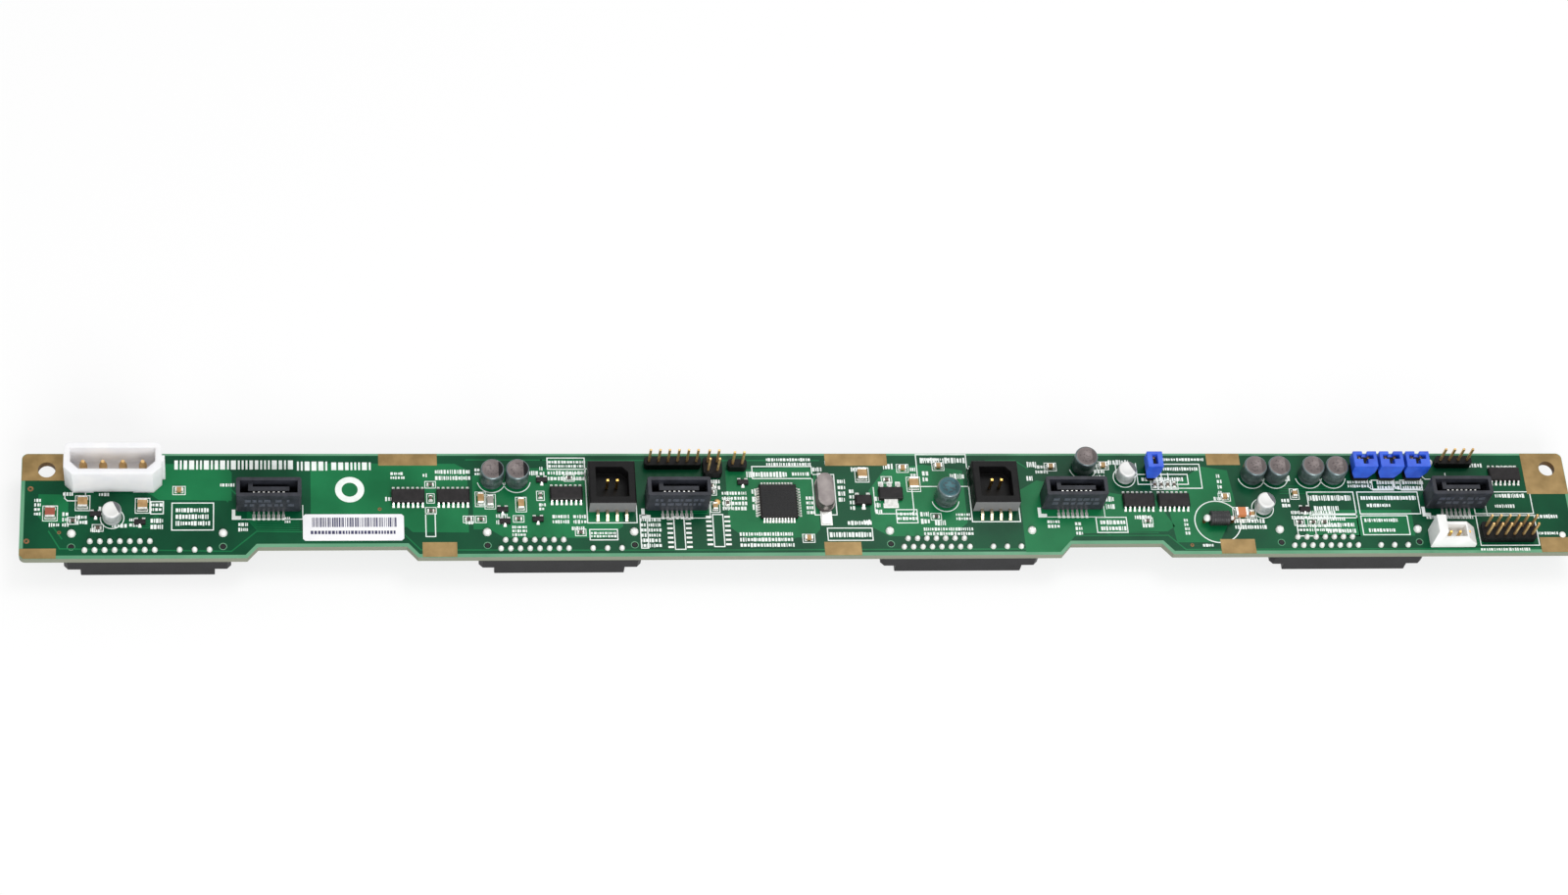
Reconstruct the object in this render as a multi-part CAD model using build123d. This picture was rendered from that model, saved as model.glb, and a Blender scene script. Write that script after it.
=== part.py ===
from build123d import *
import os

# Drive backplane board for a four-bay server, in millimetres.
# X runs along the board, Y runs up to its top edge and +Z leaves the component side.
# The origin is midway between the two mounting holes, on the rear face, so the board
# fills z 0 to BOARD_THICKNESS. Layout values are measured from the board's left and
# bottom edges, or from the first contact of a bay. Small holes and pegs have flat
# sides, which keeps the many repeats light.

# Circuit board
BOARD_HEIGHT = 31.0
BOARD_THICKNESS = 2.0
CORNER_RADIUS = 1.6
LEFT_MARGIN = 16.6          # left edge to the first contact of the first bay
RIGHT_MARGIN = 48.35        # last contact of the last bay to the right edge
HOLE_RADIUS = 2.25
HOLE_FROM_LEFT = 6.4
HOLE_FROM_RIGHT = 4.9
HOLE_FROM_TOP = 4.8
NOTCH_DEPTH = 3.2
NOTCH_RAMP = 2.8            # length of the slope at each end of a notch
FIRST_NOTCH_START = 41.4    # from the first contact of its bay
FIRST_NOTCH_LENGTH = 44.0
SECOND_NOTCH_START = 42.8
SECOND_NOTCH_LENGTH = 30.5
HOLE_PLAY = 0.08            # gap round whatever passes through a hole
OVERRUN = 1.0               # how far a cutter runs past the face that it opens

# Bare metal ground pads
PAD_THICKNESS = 0.06
PAD_EDGE = 0.1              # pad inside the board's edge
PAD_CORNER = 1.0            # keeps a corner pad inside the board's rounded corner
HOLE_PADS = ((-1, 10.9, 7.9), (1, 11.8, 12.7))      # end of the board, length, height
EDGE_PADS = (                                       # bay, X, Y, length, height
    (1, -11.9, 1.5, 9.3, 3.0), (2, -23.8, 29.2, 15.4, 3.6), (3, -10.9, 29.1, 16.9, 3.7),
    (4, -16.4, 29.2, 9.3, 3.6), (2, -15.9, 2.3, 9.0, 4.3), (3, -16.4, 2.1, 9.9, 4.0),
    (4, -15.6, 2.3, 9.6, 4.4), (4, 74.6, 2.4, 10.6, 4.6),
)

# Drive bays
BAYS = 4
BAY_PITCH = 107.0
CONTACT_PITCH = 1.27
POWER_CONTACTS = 15
SIGNAL_CONTACTS = 7
KEY_GAP = 6.35              # last power contact to first signal contact
GROUND_STEP = 3             # every third signal contact goes through the board
LOWER_ROW = 2.45            # lower row of contact tails, up from the bottom edge
ROW_GAP = 2.54
TAIL_WIDTH = 0.5
TAIL_DEPTH = 0.3
TAIL_RISE = 1.1             # tail above the component side

# Drive receptacle, on the rear side
RECEPTACLE_DEPTH = 6.0
BLOCK_OVERHANG = 1.3        # block past the end contacts
BLOCK_HEIGHT = 8.4
EAR_LENGTH = 4.2
EAR_HEIGHT = 5.3
EAR_TOP = 4.9               # ear above the receptacle's centre line
EAR_CHAMFER = 1.0
SLOT_WIDTH = 2.3
SLOT_DEPTH = 6.3
SLOT_END_ROOM = 1.0         # slot past its end contacts
KEY_LENGTH = 1.3
KEY_REACH = 1.2
GUIDE_WIDTH = 1.6
GUIDE_DEPTH = 0.5
GUIDE_REACH = 2.2
TRAY_DEPTH = 1.3            # tray in the board side, where the contacts step across
FOOT_REACH = 0.55           # surface contact's foot in front of the receptacle
BLADE_THICKNESS = 0.2
BLADE_SETBACK = 0.8         # blade's end inside the slot's mouth
PEG_OFFSET = 3.45           # locating peg past the end contact
PEG_DROP = 0.25             # peg below the receptacle's centre line
PEG_RADIUS = 0.8
PEG_SIDES = 8
LOCK_WIDTH = 1.5
LOCK_DEPTH = 0.4
LOCK_RISE = 3.6             # lock above the receptacle's centre line
LOCK_SEAT = 3.2             # lock's depth in its ear

# Power inlet
INLET_X = 7.0
INLET_Y = 24.1
INLET_LENGTH = 24.9
INLET_DEPTH = 9.4
INLET_HEIGHT = 10.0
INLET_WALL = 1.6
INLET_FLOOR = 2.2
INLET_CORNER = 1.4
INLET_CHAMFER = 2.2
INLET_RIB = 0.8
INLET_RELIEF = 0.55         # height of the gap under the front wall
INLET_PINS = 4
INLET_PIN_PITCH = 5.08
INLET_PIN_RADIUS = 1.05
INLET_PIN_TOP = 8.3
INLET_PIN_TIP = 0.45        # radius of the pin's flat tip
INLET_PIN_TAPER = 2.0       # length of the tapered tip
INLET_TAIL = 1.3
SOLDER_REACH = 1.1          # pin ends below the rear side

# Data port
PORT_X = 46.9
PORT_FRONT = 13.5
PORT_LENGTH = 16.8
PORT_DEPTH = 5.6
PORT_HEIGHT = 8.8
PORT_WALL = 1.0
PORT_CORNER = 0.4
PORT_CAVITY = 6.4
PORT_STANDOFF = 0.4
TONGUE_LENGTH = 10.6
TONGUE_WIDTH = 1.3
TONGUE_BELOW_RIM = 1.2
TONGUE_HOOK = 1.2
PORT_LEG_REACH = 1.9
PORT_CONTACT_WIDTH = 0.5
PORT_CONTACT_THICKNESS = 0.25
FOOT_LENGTH = 2.4
FOOT_INSET = 0.5

# Sideband header
SIDE_BAYS = (2, 3)
SIDE_X = (29.6, 25.8)
SIDE_Y = 19.65
SIDE_LENGTH = 12.4
SIDE_DEPTH = 12.7
SIDE_HEIGHT = 5.2
SIDE_WALL = 1.9
SIDE_FLOOR = 1.2
SIDE_RIM = 0.3              # chamfer round the rim
SIDE_KEY = 1.6              # cut corner of the cavity
SIDE_PIN = 0.64
SIDE_PIN_TOP = 5.9
SIDE_PIN_SEAT = 0.6         # post's depth in the floor
SIDE_LEGS = 4
SIDE_LEG_WIDTH = 0.7
SIDE_LEG_RISE = 1.3
SIDE_FRONT_REACH = 2.9
SIDE_BACK_REACH = 1.45
GRID = 2.54                 # pitch of headers and sideband legs

# Can capacitors: bay, X, Y, height
CAN_RADIUS = 3.15
TALL_CANS = (
    (2, -1.9, 22.9, 6.3), (2, 4.7, 22.9, 6.3), (3, 51.2, 26.7, 6.3), (3, 12.5, 16.9, 7.2),
    (4, -9.2, 23.8, 6.3), (4, -2.6, 23.8, 6.3), (4, 6.9, 23.8, 6.3), (4, 13.6, 23.8, 6.3),
)
SMALL_CAN_RADIUS = 2.5
SMALL_CANS = ((1, 6.8, 11.8, 5.0), (3, 62.4, 23.5, 5.0), (4, -7.3, 13.9, 5.0))

# Small-outline chips: bay, X, Y
CHIP_LENGTH = 8.65
CHIP_DEPTH = 3.9
CHIP_HEIGHT = 1.5
CHIP_STANDOFF = 0.15
CHIP_CHAMFER = 0.3
CHIP_LEG_REACH = 1.05
CHIP_LEG_WIDTH = 0.42
LEG_THICKNESS = 0.2
LEG_FOOT = 0.45             # share of a sloped leg that lies flat on the board
LEGS_A_SIDE = 7
LOGIC_CHIPS = (
    (2, -23.9, 17.8), (2, -12.1, 17.8), (2, 17.7, 18.5), (3, 65.4, 16.1), (3, 75.1, 16.1),
    (4, 62.4, 24.0),
)

# Controller chip
CONTROLLER = (2, 74.1, 16.0)
CONTROLLER_SIDE = 10.0
CONTROLLER_HEIGHT = 1.4
CONTROLLER_PITCH = 0.8
CONTROLLER_LEGS = 11
CONTROLLER_LEG_WIDTH = 0.36

# Crystal oscillator
CRYSTAL = (3, -20.2, 18.4)
CRYSTAL_WIDTH = 4.4
CRYSTAL_LENGTH = 10.0
CRYSTAL_HEIGHT = 3.2
CRYSTAL_RIM = 0.35
CRYSTAL_RIM_HEIGHT = 0.5
CRYSTAL_PAD_FRONT = 3.6
CRYSTAL_PAD_BACK = 0.9
CRYSTAL_PAD_WIDTH = 2.4
CRYSTAL_PAD_HEIGHT = 0.45

# Regulators
REGULATOR = (3, -2.4, 18.3)
REGULATOR_SIZE = (6.5, 3.5, 1.6)
REGULATOR_TAB = 3.6
REGULATOR_TAB_REACH = 2.0
REGULATOR_LEG_WIDTH = 0.84
REGULATOR_SPREAD = 2.3
SMALL_REGULATOR = (3, -9.9, 16.4)
SMALL_REGULATOR_SIZE = (4.5, 2.6, 1.5)
SMALL_REGULATOR_LEG_WIDTH = 0.6
SMALL_REGULATOR_SPREAD = 1.5

# Chip capacitors and resistors: bay, X, Y, turned across the board or not
LARGE_CAPACITOR_SIZE = (3.2, 2.5, 1.4)
LARGE_CAPACITOR_CAP = 0.5
LARGE_CAPACITORS = (
    (1, -9.0, 13.3, True), (1, -0.8, 16.3, True), (1, 14.5, 15.5, True), (3, -9.6, 24.4, True),
    (3, 4.2, 21.5, True), (4, -13.5, 12.4, False),
)
LONG_CAPACITOR_SIZE = (3.2, 1.6, 1.2)
LONG_CAPACITORS = ((2, -4.9, 17.2, True), (2, -2.4, 16.5, True), (2, 5.7, 15.6, True))
CAPACITOR_SIZE = (2.0, 1.25, 1.0)
CAPACITOR_CAP = 0.4
CAPACITORS = (
    (1, 23.8, 20.0, False), (3, 1.6, 26.4, False), (2, 81.6, 5.2, False), (4, -10.6, 11.9, True),
    (4, 2.2, 18.3, True), (3, 42.3, 26.8, False), (3, 56.8, 27.2, False), (3, 11.4, 27.0, False),
    (2, 57.2, 14.7, True), (4, -17.5, 17.4, False),
)
RESISTOR_SIZE = (1.6, 0.8, 0.45)
RESISTOR_CAP = 0.3
RESISTORS = (
    (1, 3.2, 9.0, False), (1, -3.2, 11.1, False), (2, -18.0, 21.6, False), (2, -18.0, 17.5, True),
    (2, -18.0, 13.8, False), (2, -8.2, 11.2, False), (2, -5.0, 11.2, False), (2, 4.9, 11.3, False),
    (2, 10.9, 18.2, True), (2, 18.7, 23.6, False), (2, 21.1, 7.2, False), (2, 56.4, 21.2, False),
    (2, 56.4, 19.3, False), (2, 60.6, 15.9, True), (3, -3.0, 22.9, False), (3, 9.5, 11.6, False),
    (3, 67.3, 10.1, False), (3, 70.6, 21.2, True), (3, 72.4, 21.2, True), (3, 74.2, 21.2, True),
    (3, 76.0, 21.2, True), (4, 2.4, 9.6, False), (4, 6.2, 9.6, False), (4, 9.4, 9.6, False),
)

# Small three-legged transistors: bay, X, Y
TRANSISTOR_SIZE = (2.9, 1.3, 1.0)
TRANSISTOR_EDGE = 0.15
TRANSISTOR_LEG_WIDTH = 0.4
TRANSISTOR_LEG_REACH = 0.6
TRANSISTOR_SPREAD = 0.95
TRANSISTORS = (
    (1, 2.6, 12.9), (1, 13.9, 10.5), (2, 0.8, 13.9), (2, 1.3, 10.4), (2, 10.0, 11.0),
    (2, 11.4, 22.8), (2, 65.0, 22.0), (4, 4.4, 13.4),
)

# Pin headers: bay, X, Y, columns, rows
HEADER_BASE = 2.54
HEADER_PIN = 0.64
HEADER_PIN_TOP = 8.5
HEADER_CORNER = 0.5
HEADERS = (
    (2, 46.3, 27.4, 6, 1), (2, 56.9, 26.0, 2, 2), (2, 63.6, 26.7, 2, 1), (4, 48.1, 27.6, 4, 1),
    (4, 60.2, 5.75, 6, 2),
)

# Jumper headers and their caps: bay, X, width of the cap, columns
JUMPERS = ((3, 69.6, 4.3, 1), (4, 21.3, 6.6, 2), (4, 28.7, 6.6, 2), (4, 36.1, 6.6, 2))
JUMPER_Y = 25.0
JUMPER_BASE_HEIGHT = 1.2
JUMPER_PIN_TOP = 6.2
CAP_DEPTH = 4.8
CAP_HEIGHT = 6.5
CAP_TAPER = 0.2             # share of the width that each side draws in at the bottom
CAP_TAPER_HEIGHT = 3.0
CAP_PIN_PLAY = 0.06
CAP_ROOF = 0.9              # roof over the pins' chambers
CAP_RECESS = 1.6            # depth of the notch, which opens into the chambers
CAP_SLOT = 1.3
CAP_MARGIN = 1.0            # wall left round the notch

# White wire connector at the bottom right
WIRE_X = 44.3
WIRE_Y = 4.4
WIRE_LENGTH = 12.6
WIRE_DEPTH = 5.4
WIRE_HEIGHT = 5.0
WIRE_TOWER = 2.6
WIRE_TOWER_RISE = 4.0
WIRE_WALL = 0.9
WIRE_CAVITY = 3.4
WIRE_END_HEIGHT = 1.7
WIRE_SLOPE = 3.0
WIRE_CONTACTS = 3
WIRE_CONTACT_SEAT = 0.6     # contact's depth in the floor

# Axial choke
CHOKE = (4, -20.3, 9.8)
CHOKE_RADIUS = 2.1
CHOKE_LENGTH = 5.4
CHOKE_LEAD = 0.8
CHOKE_LEAD_REACH = 1.6      # lead past each end of the body

# Paper label
LABEL_X = 68.8
LABEL_Y = 8.9
LABEL_LENGTH = 26.2
LABEL_HEIGHT = 7.8
LABEL_CORNER = 0.6
LABEL_THICKNESS = 0.12

# Worked out from the values above
FIRST_SIGNAL = (POWER_CONTACTS - 1) * CONTACT_PITCH + KEY_GAP
SPAN = FIRST_SIGNAL + (SIGNAL_CONTACTS - 1) * CONTACT_PITCH
BOARD_LENGTH = LEFT_MARGIN + (BAYS - 1) * BAY_PITCH + SPAN + RIGHT_MARGIN
HOLE_SPACING = BOARD_LENGTH - HOLE_FROM_LEFT - HOLE_FROM_RIGHT
LEFT = -HOLE_SPACING / 2 - HOLE_FROM_LEFT
RIGHT = LEFT + BOARD_LENGTH
BOTTOM = HOLE_FROM_TOP - BOARD_HEIGHT
TOP = BOARD_THICKNESS
RECEPTACLE_Y = LOWER_ROW + ROW_GAP / 2


def bay_x(bay, x):
    """Row X of a place measured from the first contact of a bay, counted from 1."""
    return LEFT + LEFT_MARGIN + (bay - 1) * BAY_PITCH + x


def up(y):
    """Row Y of a place measured up from the board's bottom edge."""
    return BOTTOM + y


def block(x0, x1, y0, y1, z0, z1):
    """A block between two corners."""
    return Pos((x0 + x1) / 2, (y0 + y1) / 2, (z0 + z1) / 2) * Box(x1 - x0, y1 - y0, z1 - z0)


def slab(x, y, length, depth, z0, z1):
    """A block centred on a place of the board."""
    return block(x - length / 2, x + length / 2, y - depth / 2, y + depth / 2, z0, z1)


def raised(outline, z0, z1):
    """A flat outline, extruded from z0 to z1."""
    return Pos(0, 0, z0) * extrude(outline, z1 - z0)


def profile_x(points, x, width):
    """A closed (y, z) outline, centred on x and extruded along X."""
    plane = Plane(origin=(x - width / 2, 0, 0), x_dir=(0, 1, 0), z_dir=(1, 0, 0))
    return extrude(plane * make_face(Polyline(*points, close=True)), width)


def profile_y(points, y, depth):
    """A closed (x, z) outline, centred on y and extruded along Y."""
    plane = Plane(origin=(0, y + depth / 2, 0), x_dir=(1, 0, 0), z_dir=(0, -1, 0))
    return extrude(plane * make_face(Polyline(*points, close=True)), depth)


def rod(x, y, radius, z0, z1):
    """An upright round rod."""
    return Pos(x, y, (z0 + z1) / 2) * Cylinder(radius, z1 - z0)


def write(name, *solids):
    """One STEP for one node: a single solid, or a group of separate ones."""
    shape = solids[0] if len(solids) == 1 else Compound(children=list(solids))
    shape.label = name
    export_step(shape, f"parts/{name}.step")


def contact_places():
    """Tail places of a receptacle's through-board contacts, as (x, y) from its first contact."""
    power = [(i * CONTACT_PITCH, LOWER_ROW + ROW_GAP * (i % 2)) for i in range(POWER_CONTACTS)]
    grounds = range(0, SIGNAL_CONTACTS, GROUND_STEP)
    return power + [(FIRST_SIGNAL + i * CONTACT_PITCH, LOWER_ROW) for i in grounds]


def surface_contacts():
    """Signal contacts whose tails lie on the rear side, as x from the first contact."""
    return [FIRST_SIGNAL + i * CONTACT_PITCH for i in range(SIGNAL_CONTACTS) if i % GROUND_STEP]


def end_places():
    """X of the peg and the lock at each end of a receptacle, from its first contact."""
    return (-PEG_OFFSET, SPAN + PEG_OFFSET)


def header_places(bay, x, y, columns, rows):
    """Pin places of a header, in row X and Y."""
    left = bay_x(bay, x) - (columns - 1) * GRID / 2
    low = up(y) - (rows - 1) * GRID / 2
    return [(left + i * GRID, low + j * GRID) for i in range(columns) for j in range(rows)]


def jumper_places(bay, x, width, columns):
    """Pin places of one jumper header, two rows deep."""
    return header_places(bay, x, JUMPER_Y, columns, 2)


def inlet_pin_places():
    """Pin places of the power inlet."""
    return [(bay_x(1, INLET_X) + (i - (INLET_PINS - 1) / 2) * INLET_PIN_PITCH, up(INLET_Y))
            for i in range(INLET_PINS)]


def choke_lead_place(side):
    """Where the choke's left or right lead goes through the board."""
    bay, x, y = CHOKE
    return bay_x(bay, x) + side * (CHOKE_LENGTH / 2 + CHOKE_LEAD_REACH - CHOKE_LEAD / 2), up(y)


def notch(bay, start, length):
    """A shallow trapezoid cut in the bottom edge."""
    x0 = bay_x(bay, start)
    x1 = x0 + length
    edge, root = up(0), up(NOTCH_DEPTH)
    points = [(x0, edge - OVERRUN), (x1, edge - OVERRUN), (x1, edge), (x1 - NOTCH_RAMP, root),
              (x0 + NOTCH_RAMP, root), (x0, edge)]
    return raised(make_face(Polyline(*points, close=True)), -OVERRUN, TOP + OVERRUN)


def through_holes():
    """Every small hole in the board: centre, length and depth of what passes through it."""
    holes = []
    for bay in range(1, BAYS + 1):
        holes += [(bay_x(bay, x), up(y), TAIL_WIDTH, TAIL_DEPTH) for x, y in contact_places()]
        holes += [(bay_x(bay, x), up(RECEPTACLE_Y + LOCK_RISE), LOCK_WIDTH, LOCK_DEPTH)
                  for x in end_places()]
    headers = [header_places(*header) for header in HEADERS]
    headers += [jumper_places(*jumper) for jumper in JUMPERS]
    holes += [(x, y, HEADER_PIN, HEADER_PIN) for places in headers for x, y in places]
    holes += [(x, y, INLET_TAIL, INLET_TAIL) for x, y in inlet_pin_places()]
    holes += [(*choke_lead_place(side), CHOKE_LEAD, CHOKE_LEAD) for side in (-1, 1)]
    return holes


def circuit_board():
    """The laminate with its notches, mounting holes and every hole that a part passes through."""
    place = Pos((LEFT + RIGHT) / 2, BOTTOM + BOARD_HEIGHT / 2)
    outline = place * RectangleRounded(BOARD_LENGTH, BOARD_HEIGHT, CORNER_RADIUS)
    holes = Sketch() + [Pos(side * HOLE_SPACING / 2, 0) * Circle(HOLE_RADIUS) for side in (-1, 1)]
    holes += [Pos(bay_x(bay, x), up(RECEPTACLE_Y - PEG_DROP))
              * RegularPolygon(PEG_RADIUS + HOLE_PLAY, PEG_SIDES)
              for bay in range(1, BAYS + 1) for x in end_places()]
    holes += [Pos(x, y) * Rectangle(length + 2 * HOLE_PLAY, depth + 2 * HOLE_PLAY)
              for x, y, length, depth in through_holes()]
    board = extrude(outline - holes, BOARD_THICKNESS)
    board -= notch(1, FIRST_NOTCH_START, FIRST_NOTCH_LENGTH)
    board -= notch(3, SECOND_NOTCH_START, SECOND_NOTCH_LENGTH)
    return board


def ground_pads(board):
    """Bare pads plated on the component side, cut back to the board's outline and holes."""
    edge = BOTTOM + BOARD_HEIGHT - PAD_EDGE
    inside = Pos((LEFT + RIGHT) / 2, BOTTOM + BOARD_HEIGHT / 2)
    inside *= Rectangle(BOARD_LENGTH - 2 * PAD_EDGE, BOARD_HEIGHT - 2 * PAD_EDGE)
    inside = chamfer(inside.vertices(), PAD_CORNER)
    outlines = []
    for side, length, height in HOLE_PADS:
        end = LEFT + PAD_EDGE if side < 0 else RIGHT - PAD_EDGE
        outlines.append(Pos(end - side * length / 2, edge - height / 2) * Rectangle(length, height))
    for bay, x, y, length, height in EDGE_PADS:
        outlines.append(Pos(bay_x(bay, x), up(y)) * Rectangle(length, height))
    above = Pos(0, 0, TOP / 2) * board
    pads = []
    for outline in outlines:
        pad = raised(outline & inside, TOP, TOP + PAD_THICKNESS) & above
        pads.extend(pad.solids())
    return pads


def receptacle(bay):
    """Drive receptacle: a block with two keyed slots, ears with pegs, and a tray for the contacts."""
    first, y = bay_x(bay, 0), up(RECEPTACLE_Y)
    middle = first + SPAN / 2
    length = SPAN + 2 * BLOCK_OVERHANG
    low, mouth = y - RECEPTACLE_DEPTH / 2, -BLOCK_HEIGHT
    floor = mouth + SLOT_DEPTH
    body = slab(middle, y, length, RECEPTACLE_DEPTH, mouth, 0)
    for side in (-1, 1):
        ear = Pos(middle + side * (length + EAR_LENGTH) / 2, (low + y + EAR_TOP) / 2)
        ear *= Rectangle(EAR_LENGTH, y + EAR_TOP - low)
        outer = ear.vertices().group_by(Axis.X)[0 if side < 0 else -1]
        body += raised(chamfer(outer, EAR_CHAMFER), -EAR_HEIGHT, 0)
        body -= slab(middle + side * (length - GUIDE_DEPTH) / 2, y, GUIDE_DEPTH, GUIDE_WIDTH,
                     mouth - OVERRUN, mouth + GUIDE_REACH)
    slit = BLADE_THICKNESS + 2 * HOLE_PLAY
    tray = ROW_GAP + TAIL_DEPTH + 2 * HOLE_PLAY
    for start, count in ((0, POWER_CONTACTS), (FIRST_SIGNAL, SIGNAL_CONTACTS)):
        run = (count - 1) * CONTACT_PITCH
        x, room = first + start + run / 2, run + TAIL_WIDTH + 2 * HOLE_PLAY
        slot = run + 2 * SLOT_END_ROOM
        key = x - slot / 2 + KEY_LENGTH / 2
        body -= slab(x, y, slot, SLOT_WIDTH, mouth - OVERRUN, floor)
        body -= slab(key, y + KEY_REACH, KEY_LENGTH, SLOT_WIDTH, mouth - OVERRUN, floor)
        body -= slab(x, y, room, slit, floor - OVERRUN, 0)
        body -= slab(x, y, room, tray, -TRAY_DEPTH, OVERRUN)
    body -= block(x - room / 2, x + room / 2, low - OVERRUN, y, -TAIL_DEPTH - HOLE_PLAY, OVERRUN)
    for place in end_places():
        peg = Pos(first + place, y - PEG_DROP) * RegularPolygon(PEG_RADIUS, PEG_SIDES)
        body += raised(peg, 0, BOARD_THICKNESS)
        body -= slab(first + place, y + LOCK_RISE, LOCK_WIDTH + 2 * HOLE_PLAY,
                     LOCK_DEPTH + 2 * HOLE_PLAY, -LOCK_SEAT - HOLE_PLAY, OVERRUN)
    return body


def receptacle_contacts(bay):
    """Bent contacts: a tail through the board, a step across the tray and a blade in the slot."""
    first, y = bay_x(bay, 0), up(RECEPTACLE_Y)
    tip = -BLOCK_HEIGHT + BLADE_SETBACK
    half, blade = TAIL_DEPTH / 2, BLADE_THICKNESS / 2
    step = -TRAY_DEPTH + TAIL_DEPTH
    contacts = []
    for x, row in contact_places():
        side = 1 if row > LOWER_ROW else -1
        inner, outer = up(row) - side * half, up(row) + side * half
        points = [(inner, TOP + TAIL_RISE), (outer, TOP + TAIL_RISE), (outer, -TRAY_DEPTH),
                  (y + side * blade, -TRAY_DEPTH), (y + side * blade, tip),
                  (y - side * blade, tip), (y - side * blade, step), (inner, step)]
        contacts.append(profile_x(points, first + x, TAIL_WIDTH))
    foot = y - RECEPTACLE_DEPTH / 2 - FOOT_REACH
    for x in surface_contacts():
        points = [(foot, 0), (y + blade, 0), (y + blade, tip), (y - blade, tip),
                  (y - blade, -TAIL_DEPTH), (foot, -TAIL_DEPTH)]
        contacts.append(profile_x(points, first + x, TAIL_WIDTH))
    return contacts


def receptacle_locks():
    """Flat metal locks: each sits in its ear and comes through the board."""
    return [slab(bay_x(bay, x), up(RECEPTACLE_Y + LOCK_RISE), LOCK_WIDTH, LOCK_DEPTH, -LOCK_SEAT,
                 TOP + TAIL_RISE)
            for bay in range(1, BAYS + 1) for x in end_places()]


def power_inlet():
    """Shrouded inlet: rounded back corners, cut front corners, and a cavity cut the same way."""
    place = Pos(bay_x(1, INLET_X), up(INLET_Y))
    outer = place * Rectangle(INLET_LENGTH, INLET_DEPTH)
    outer = chamfer(outer.vertices().group_by(Axis.Y)[0], INLET_CHAMFER)
    outer = fillet(outer.vertices().group_by(Axis.Y)[-1], INLET_CORNER)
    inner = place * Rectangle(INLET_LENGTH - 2 * INLET_WALL, INLET_DEPTH - 2 * INLET_WALL)
    inner = chamfer(inner.vertices().group_by(Axis.Y)[0], INLET_CHAMFER)
    rim = TOP + INLET_HEIGHT
    body = raised(outer, TOP, rim) - raised(inner, TOP + INLET_FLOOR, rim + OVERRUN)
    x, y = place.position.X, place.position.Y
    body += slab(x + (INLET_LENGTH + INLET_RIB) / 2, y, INLET_RIB, INLET_WALL, TOP, rim)
    body -= slab(x, y - INLET_DEPTH / 2, 2 * INLET_PIN_PITCH, INLET_WALL, TOP, TOP + INLET_RELIEF)
    hole = INLET_TAIL + 2 * HOLE_PLAY
    for px, py in inlet_pin_places():
        body -= slab(px, py, hole, hole, TOP - OVERRUN, TOP + INLET_FLOOR + OVERRUN)
    return body


def power_inlet_pins():
    """Round pins with a tapered tip, each on a square tail that is soldered on the rear side."""
    seat = TOP + INLET_FLOOR
    top = TOP + INLET_PIN_TOP
    pins = []
    for x, y in inlet_pin_places():
        pin = rod(x, y, INLET_PIN_RADIUS, seat, top - INLET_PIN_TAPER)
        pin += Pos(x, y, top - INLET_PIN_TAPER / 2) * Cone(INLET_PIN_RADIUS, INLET_PIN_TIP,
                                                           INLET_PIN_TAPER)
        pins.append(pin + slab(x, y, INLET_TAIL, INLET_TAIL, -SOLDER_REACH, seat))
    return pins


def tongue_front():
    """Row Y of the tongue's front, where the data port's contacts lie."""
    return up(PORT_FRONT) + (PORT_DEPTH - TONGUE_WIDTH) / 2


def data_port(bay):
    """Upright port: shell, tongue with its hook, end feet and a slit for the contacts."""
    x, front, back = bay_x(bay, PORT_X), up(PORT_FRONT), up(PORT_FRONT) + PORT_DEPTH
    y, low, rim = (front + back) / 2, TOP + PORT_STANDOFF, TOP + PORT_HEIGHT
    outline = Pos(x, y) * Rectangle(PORT_LENGTH, PORT_DEPTH)
    shell = raised(chamfer(outline.vertices(), PORT_CORNER), low, rim)
    floor = rim - PORT_CAVITY
    shell -= slab(x, y, PORT_LENGTH - 2 * PORT_WALL, PORT_DEPTH - 2 * PORT_WALL, floor, rim + OVERRUN)
    face, start, top = tongue_front(), x - TONGUE_LENGTH / 2, rim - TONGUE_BELOW_RIM
    shell += block(start, start + TONGUE_LENGTH, face, face + TONGUE_WIDTH, floor, top)
    shell += block(start, start + TONGUE_HOOK, face, back - PORT_WALL, floor, top)
    reach = (SIGNAL_CONTACTS - 1) * CONTACT_PITCH + 2 * PORT_CONTACT_WIDTH
    slit = PORT_CONTACT_THICKNESS + HOLE_PLAY
    shell -= slab(x, face - slit / 2, reach, slit, TOP, floor)
    for side in (-1, 1):
        foot = x + side * (PORT_LENGTH - FOOT_LENGTH) / 2
        shell += slab(foot, y, FOOT_LENGTH, PORT_DEPTH - 2 * FOOT_INSET, TOP, low)
    return shell


def data_port_contacts(bay):
    """Contacts that start as legs in front, run under the shell and rise along the tongue."""
    face = tongue_front() - HOLE_PLAY / 2
    thick = PORT_CONTACT_THICKNESS
    tip = TOP + PORT_HEIGHT - TONGUE_BELOW_RIM - thick
    start = up(PORT_FRONT) - PORT_LEG_REACH
    points = [(start, TOP), (face, TOP), (face, tip), (face - thick, tip),
              (face - thick, TOP + thick), (start, TOP + thick)]
    middle = (SIGNAL_CONTACTS - 1) / 2
    return [profile_x(points, bay_x(bay, PORT_X) + (i - middle) * CONTACT_PITCH, PORT_CONTACT_WIDTH)
            for i in range(SIGNAL_CONTACTS)]


def post(x, y, side, z0, z1):
    """An upright square pin."""
    return slab(x, y, side, side, z0, z1)


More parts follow.
